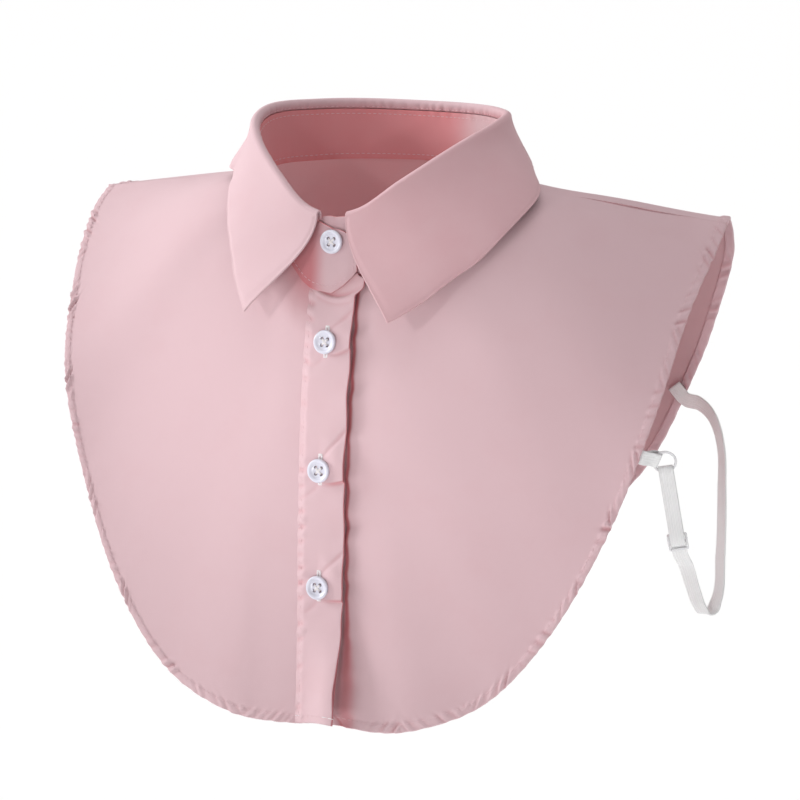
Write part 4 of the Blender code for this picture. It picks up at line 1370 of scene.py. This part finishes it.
def elastic_material(name, colour):
    """Woven elastic: lengthwise cords crossed by fine weft."""
    made, tree, shader = new_material(name, colour, 0.75)
    cords, weft = thread_bands(tree, (0.62, 0.34), Distortion=0.5)
    both = add_node(tree, "ShaderNodeMath", {0: weft, 1: 0.45, 2: cords},
                    operation="MULTIPLY_ADD").outputs[0]
    dress(tree, shader, colour, mapped(tree, both, 0.86, 1.06, end=1.45),
          bump(tree, both, 0.6, 0.00018))
    return made


def look(name):
    """The material of this name, made at its first use."""
    found = bpy.data.materials.get(name)
    if found:
        return found
    tone = colours()
    if name == "pink_cotton":
        return cotton_material(name, tuple(tone.cotton), tuple(tone.crease), "shade")
    # The inner face's shaded copy of the cotton, with its own painted shade.
    if name == "pink_cotton_inside_shaded":
        return cotton_material(name, tuple(tone.cotton_inner_shaded), tuple(tone.inside_shade), "inside")
    if name == "pink_thread":
        return thread_material(name, tuple(min(part * 1.08, 1) for part in tone.cotton))
    if name == "white_thread":
        return thread_material(name, tuple(tone.tack))
    if name == "button_plastic":
        return plastic_material(name, tuple(tone.button), 0.30)
    if name == "woven_elastic":
        return elastic_material(name, tuple(tone.elastic))
    return plastic_material(name, tuple(tone.fitting), 0.22, 0.25)


class COLLAR_OT_fronts(bpy.types.Operator):
    """Make both front bibs with their rolled hems and hem stitching."""
    bl_idname = "collar.make_fronts"
    bl_label = "Front bibs"

    def execute(self, context):
        looks = [look("pink_cotton"), look("pink_cotton_inside_shaded")]
        for side, word in ((-1, "right"), (1, "left")):
            line, normal = make_front(side, word, looks)
            threads = bmesh.new()
            add_stitches(threads, line[2:-1], normal[2:-1], sizes().stitch, sizes().thread)
            finish_piece(piece_from("front_%s_stitches" % word, threads, [look("pink_thread")]),
                         "cotton")
        return {"FINISHED"}


class COLLAR_OT_back(bpy.types.Operator):
    """Make the back bib with its rolled hem and hem stitching."""
    bl_idname = "collar.make_back"
    bl_label = "Back bib"

    def execute(self, context):
        line, normal = make_back([look("pink_cotton_inside_shaded"), look("pink_cotton")])
        threads = bmesh.new()
        add_stitches(threads, line, normal, sizes().stitch, sizes().thread)
        finish_piece(piece_from("back_bib_stitches", threads, [look("pink_thread")]), "cotton")
        return {"FINISHED"}


class COLLAR_OT_placket(bpy.types.Operator):
    """Make the placket, its seam and its buttonholes."""
    bl_idname = "collar.make_placket"
    bl_label = "Placket"

    def execute(self, context):
        line, normal = make_placket([look("pink_cotton")])
        threads = bmesh.new()
        add_stitches(threads, line, normal, sizes().stitch * 0.9, sizes().thread)
        part = np.linspace(-0.9, 0.9, 40)
        share = 1 - SEAM_INSET / FRONT_LENGTH + 0 * part
        across, out = placket_point(part, share), strip_normal(share)
        add_stitches(threads, across + out * 0.0002, out, sizes().stitch, sizes().thread)
        finish_piece(piece_from("placket_stitches", threads, [look("pink_thread")]), "cotton")
        tacks = bmesh.new()
        for centre in PLACKET_BUTTON_SHARES:
            add_buttonhole(tacks, centre)
        low = 1 - BAR_INSET / FRONT_LENGTH
        for first, last in BOTTOM_BARS:
            part = np.linspace(first, last, 12)
            line = placket_point(part, low + 0 * part)
            out = strip_normal(low + 0 * part)
            length = run_length(line)[-1]
            pitch = length / max(round(length / BAR_STITCH), 1)
            add_stitches(tacks, line + out * 0.0003, out, pitch, BAR_THREAD, 1.0)
        finish_piece(piece_from("buttonhole_threads", tacks, [look("white_thread")]), "cotton")
        return {"FINISHED"}


class COLLAR_OT_collar(bpy.types.Operator):
    """Make the stand and the folded leaf with their stitching."""
    bl_idname = "collar.make_collar"
    bl_label = "Stand and leaf"

    def execute(self, context):
        threads = bmesh.new()
        for line, normal in make_stand([look("pink_cotton_inside_shaded"), look("pink_cotton")]):
            add_stitches(threads, line, normal, sizes().stitch * 0.85, sizes().thread)
        line, normal = make_leaf([look("pink_cotton")])
        add_stitches(threads, line, normal, sizes().stitch * 0.85, sizes().thread)
        finish_piece(piece_from("collar_stitches", threads, [look("pink_thread")]), "cotton")
        return {"FINISHED"}


class COLLAR_OT_buttons(bpy.types.Operator):
    """Make the four-hole buttons and the thread that holds them."""
    bl_idname = "collar.make_buttons"
    bl_label = "Buttons"

    def execute(self, context):
        threads = bmesh.new()
        for number, place in enumerate(button_places(), 1):
            make_button(number, place, look("button_plastic"))
            button_thread(threads, place)
        finish_piece(piece_from("button_threads", threads, [look("white_thread")]), "buttons")
        return {"FINISHED"}


class COLLAR_OT_straps(bpy.types.Operator):
    """Make the elastic straps, tabs, rings and sliders at both sides."""
    bl_idname = "collar.make_straps"
    bl_label = "Elastic straps"

    def execute(self, context):
        for side, word in ((1, "left"), (-1, "right")):
            layout = strap_layout(side)
            for piece, stations, spacing in (("strap", strap_stations(side), 0.0011),
                                             ("tab", tab_stations(side), 0.0006)):
                make_ribbon("%s_%s_elastic" % (piece, word), stations, spacing,
                            look("woven_elastic"), piece + "_" + word)
            make_ring(word, layout, look("fitting_plastic"))
            make_slider(word, layout, look("fitting_plastic"))
        return {"FINISHED"}


CAMERA_PLACE = (1.1542, -2.2006, 0.2918)
CAMERA_RIGHT = (0.8870, 0.4618, 0.0)
CAMERA_UP = (-0.0722, 0.1388, 0.9877)
CAMERA_LENS = 235.1         # mm, as is the sensor
CAMERA_SENSOR = 36
LIGHTS = [
    # name, way to it x, y, z, strength, width in degrees, colour
    ("key", (-0.93, -0.20, 0.33), 2.60, 22, (0.965, 1.0, 0.995)),
    ("top", (0.05, 0.10, 1.00), 1.52, 60, (1.0, 1.0, 1.0)),
]
SPOTS = [
    # name, place x, y, z, aim x, y, z, power, cone in degrees, size
    ("fill_left", (0.350, -1.285, -0.450), (0.090, -0.050, -0.142), 35.0, 11.8, 0.12),
    ("fill_right", (-0.135, -1.325, -0.425), (-0.080, -0.055, -0.150), 27.0, 14.5, 0.16),
    ("kicker", (-0.275, -0.970, 0.270), (-0.028, -0.070, -0.028), 28.0, 8.6, 0.11),
]
SKY = 0.32
FLOOR_BELOW = 0.30
FLOOR_HALF = 30.0


class COLLAR_OT_stage(bpy.types.Operator):
    """Set the camera, the soft lights and the pale floor."""
    bl_idname = "collar.set_stage"
    bl_label = "Stage"

    def execute(self, context):
        scene = context.scene
        lens = bpy.data.cameras.new("camera")
        lens.sensor_width = CAMERA_SENSOR
        lens.lens = CAMERA_LENS
        lens.clip_end = 2 * FLOOR_HALF
        scene.camera = camera = place_object("camera", lens)
        right, up = Vector(CAMERA_RIGHT).normalized(), Vector(CAMERA_UP).normalized()
        placed = Matrix((right, up, right.cross(up))).transposed().to_4x4()
        placed.translation = Vector(CAMERA_PLACE)
        camera.matrix_world = placed
        for name, way, strength, width, colour in LIGHTS:
            lamp = bpy.data.lights.new(name, "SUN")
            lamp.energy = strength
            lamp.angle = np.radians(width)
            lamp.color = colour
            turn = Vector(way).to_track_quat("Z", "Y")
            place_object(name, lamp).rotation_euler = turn.to_euler()
        for name, place, aim, power, cone, size in SPOTS:
            lamp = bpy.data.lights.new(name, "SPOT")
            lamp.energy = power
            lamp.spot_size = np.radians(cone)
            lamp.spot_blend = 1.0
            lamp.shadow_soft_size = size
            turn = (Vector(place) - Vector(aim)).to_track_quat("Z", "Y")
            held = place_object(name, lamp)
            held.matrix_world = Matrix.Translation(place) @ turn.to_matrix().to_4x4()
            held.visible_camera = False
        shape = bmesh.new()
        bmesh.ops.create_grid(shape, x_segments=8, y_segments=8, size=FLOOR_HALF,
                              matrix=Matrix.Translation((0, 0, CAD_BOX[0][2] - FLOOR_BELOW)))
        white = new_material("floor_white", (0.965, 0.95, 0.95), 0.9)[0]
        floor = piece_from("floor", shape, [white], smooth_faces=False)
        floor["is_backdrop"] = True
        world = scene.world or bpy.data.worlds.new("studio")
        scene.world = world
        world.use_nodes = True
        sky = world.node_tree.nodes["Background"]
        sky.inputs["Color"].default_value = (1, 1, 1, 1)
        sky.inputs["Strength"].default_value = SKY
        scene.view_settings.view_transform = "Standard"
        return {"FINISHED"}


class VIEW3D_PT_collar(bpy.types.Panel):
    """Sizes, colours and makers of the collar's pieces."""
    bl_label = "Detachable collar"
    bl_space_type = "VIEW_3D"
    bl_region_type = "UI"
    bl_category = "Collar"

    def draw(self, context):
        for group in (context.scene.collar_sizes, context.scene.collar_colours):
            box = self.layout.box()
            for name in group.__annotations__:
                box.prop(group, name)
        for maker in MAKERS:
            self.layout.operator(maker.bl_idname)


MAKERS = (COLLAR_OT_stage, COLLAR_OT_fronts, COLLAR_OT_back, COLLAR_OT_placket, COLLAR_OT_collar,
          COLLAR_OT_buttons, COLLAR_OT_straps)
CLASSES = (CollarSizes, CollarColours, *MAKERS, VIEW3D_PT_collar)


def register():
    for made in CLASSES:
        bpy.utils.register_class(made)
    bpy.types.Scene.collar_sizes = PointerProperty(type=CollarSizes)
    bpy.types.Scene.collar_colours = PointerProperty(type=CollarColours)


def unregister():
    del bpy.types.Scene.collar_colours
    del bpy.types.Scene.collar_sizes
    for made in reversed(CLASSES):
        bpy.utils.unregister_class(made)


def main():
    register()
    bpy.ops.collar.set_stage()
    bpy.ops.collar.make_fronts()
    bpy.ops.collar.make_back()
    bpy.ops.collar.make_placket()
    bpy.ops.collar.make_collar()
    bpy.ops.collar.make_buttons()
    bpy.ops.collar.make_straps()
    boxes = {"cad": CAD_BOX, "visual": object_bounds()}
    {name: [list(corner) for corner in box] for name, box in boxes.items()}


if __name__ == "__main__":
    main()
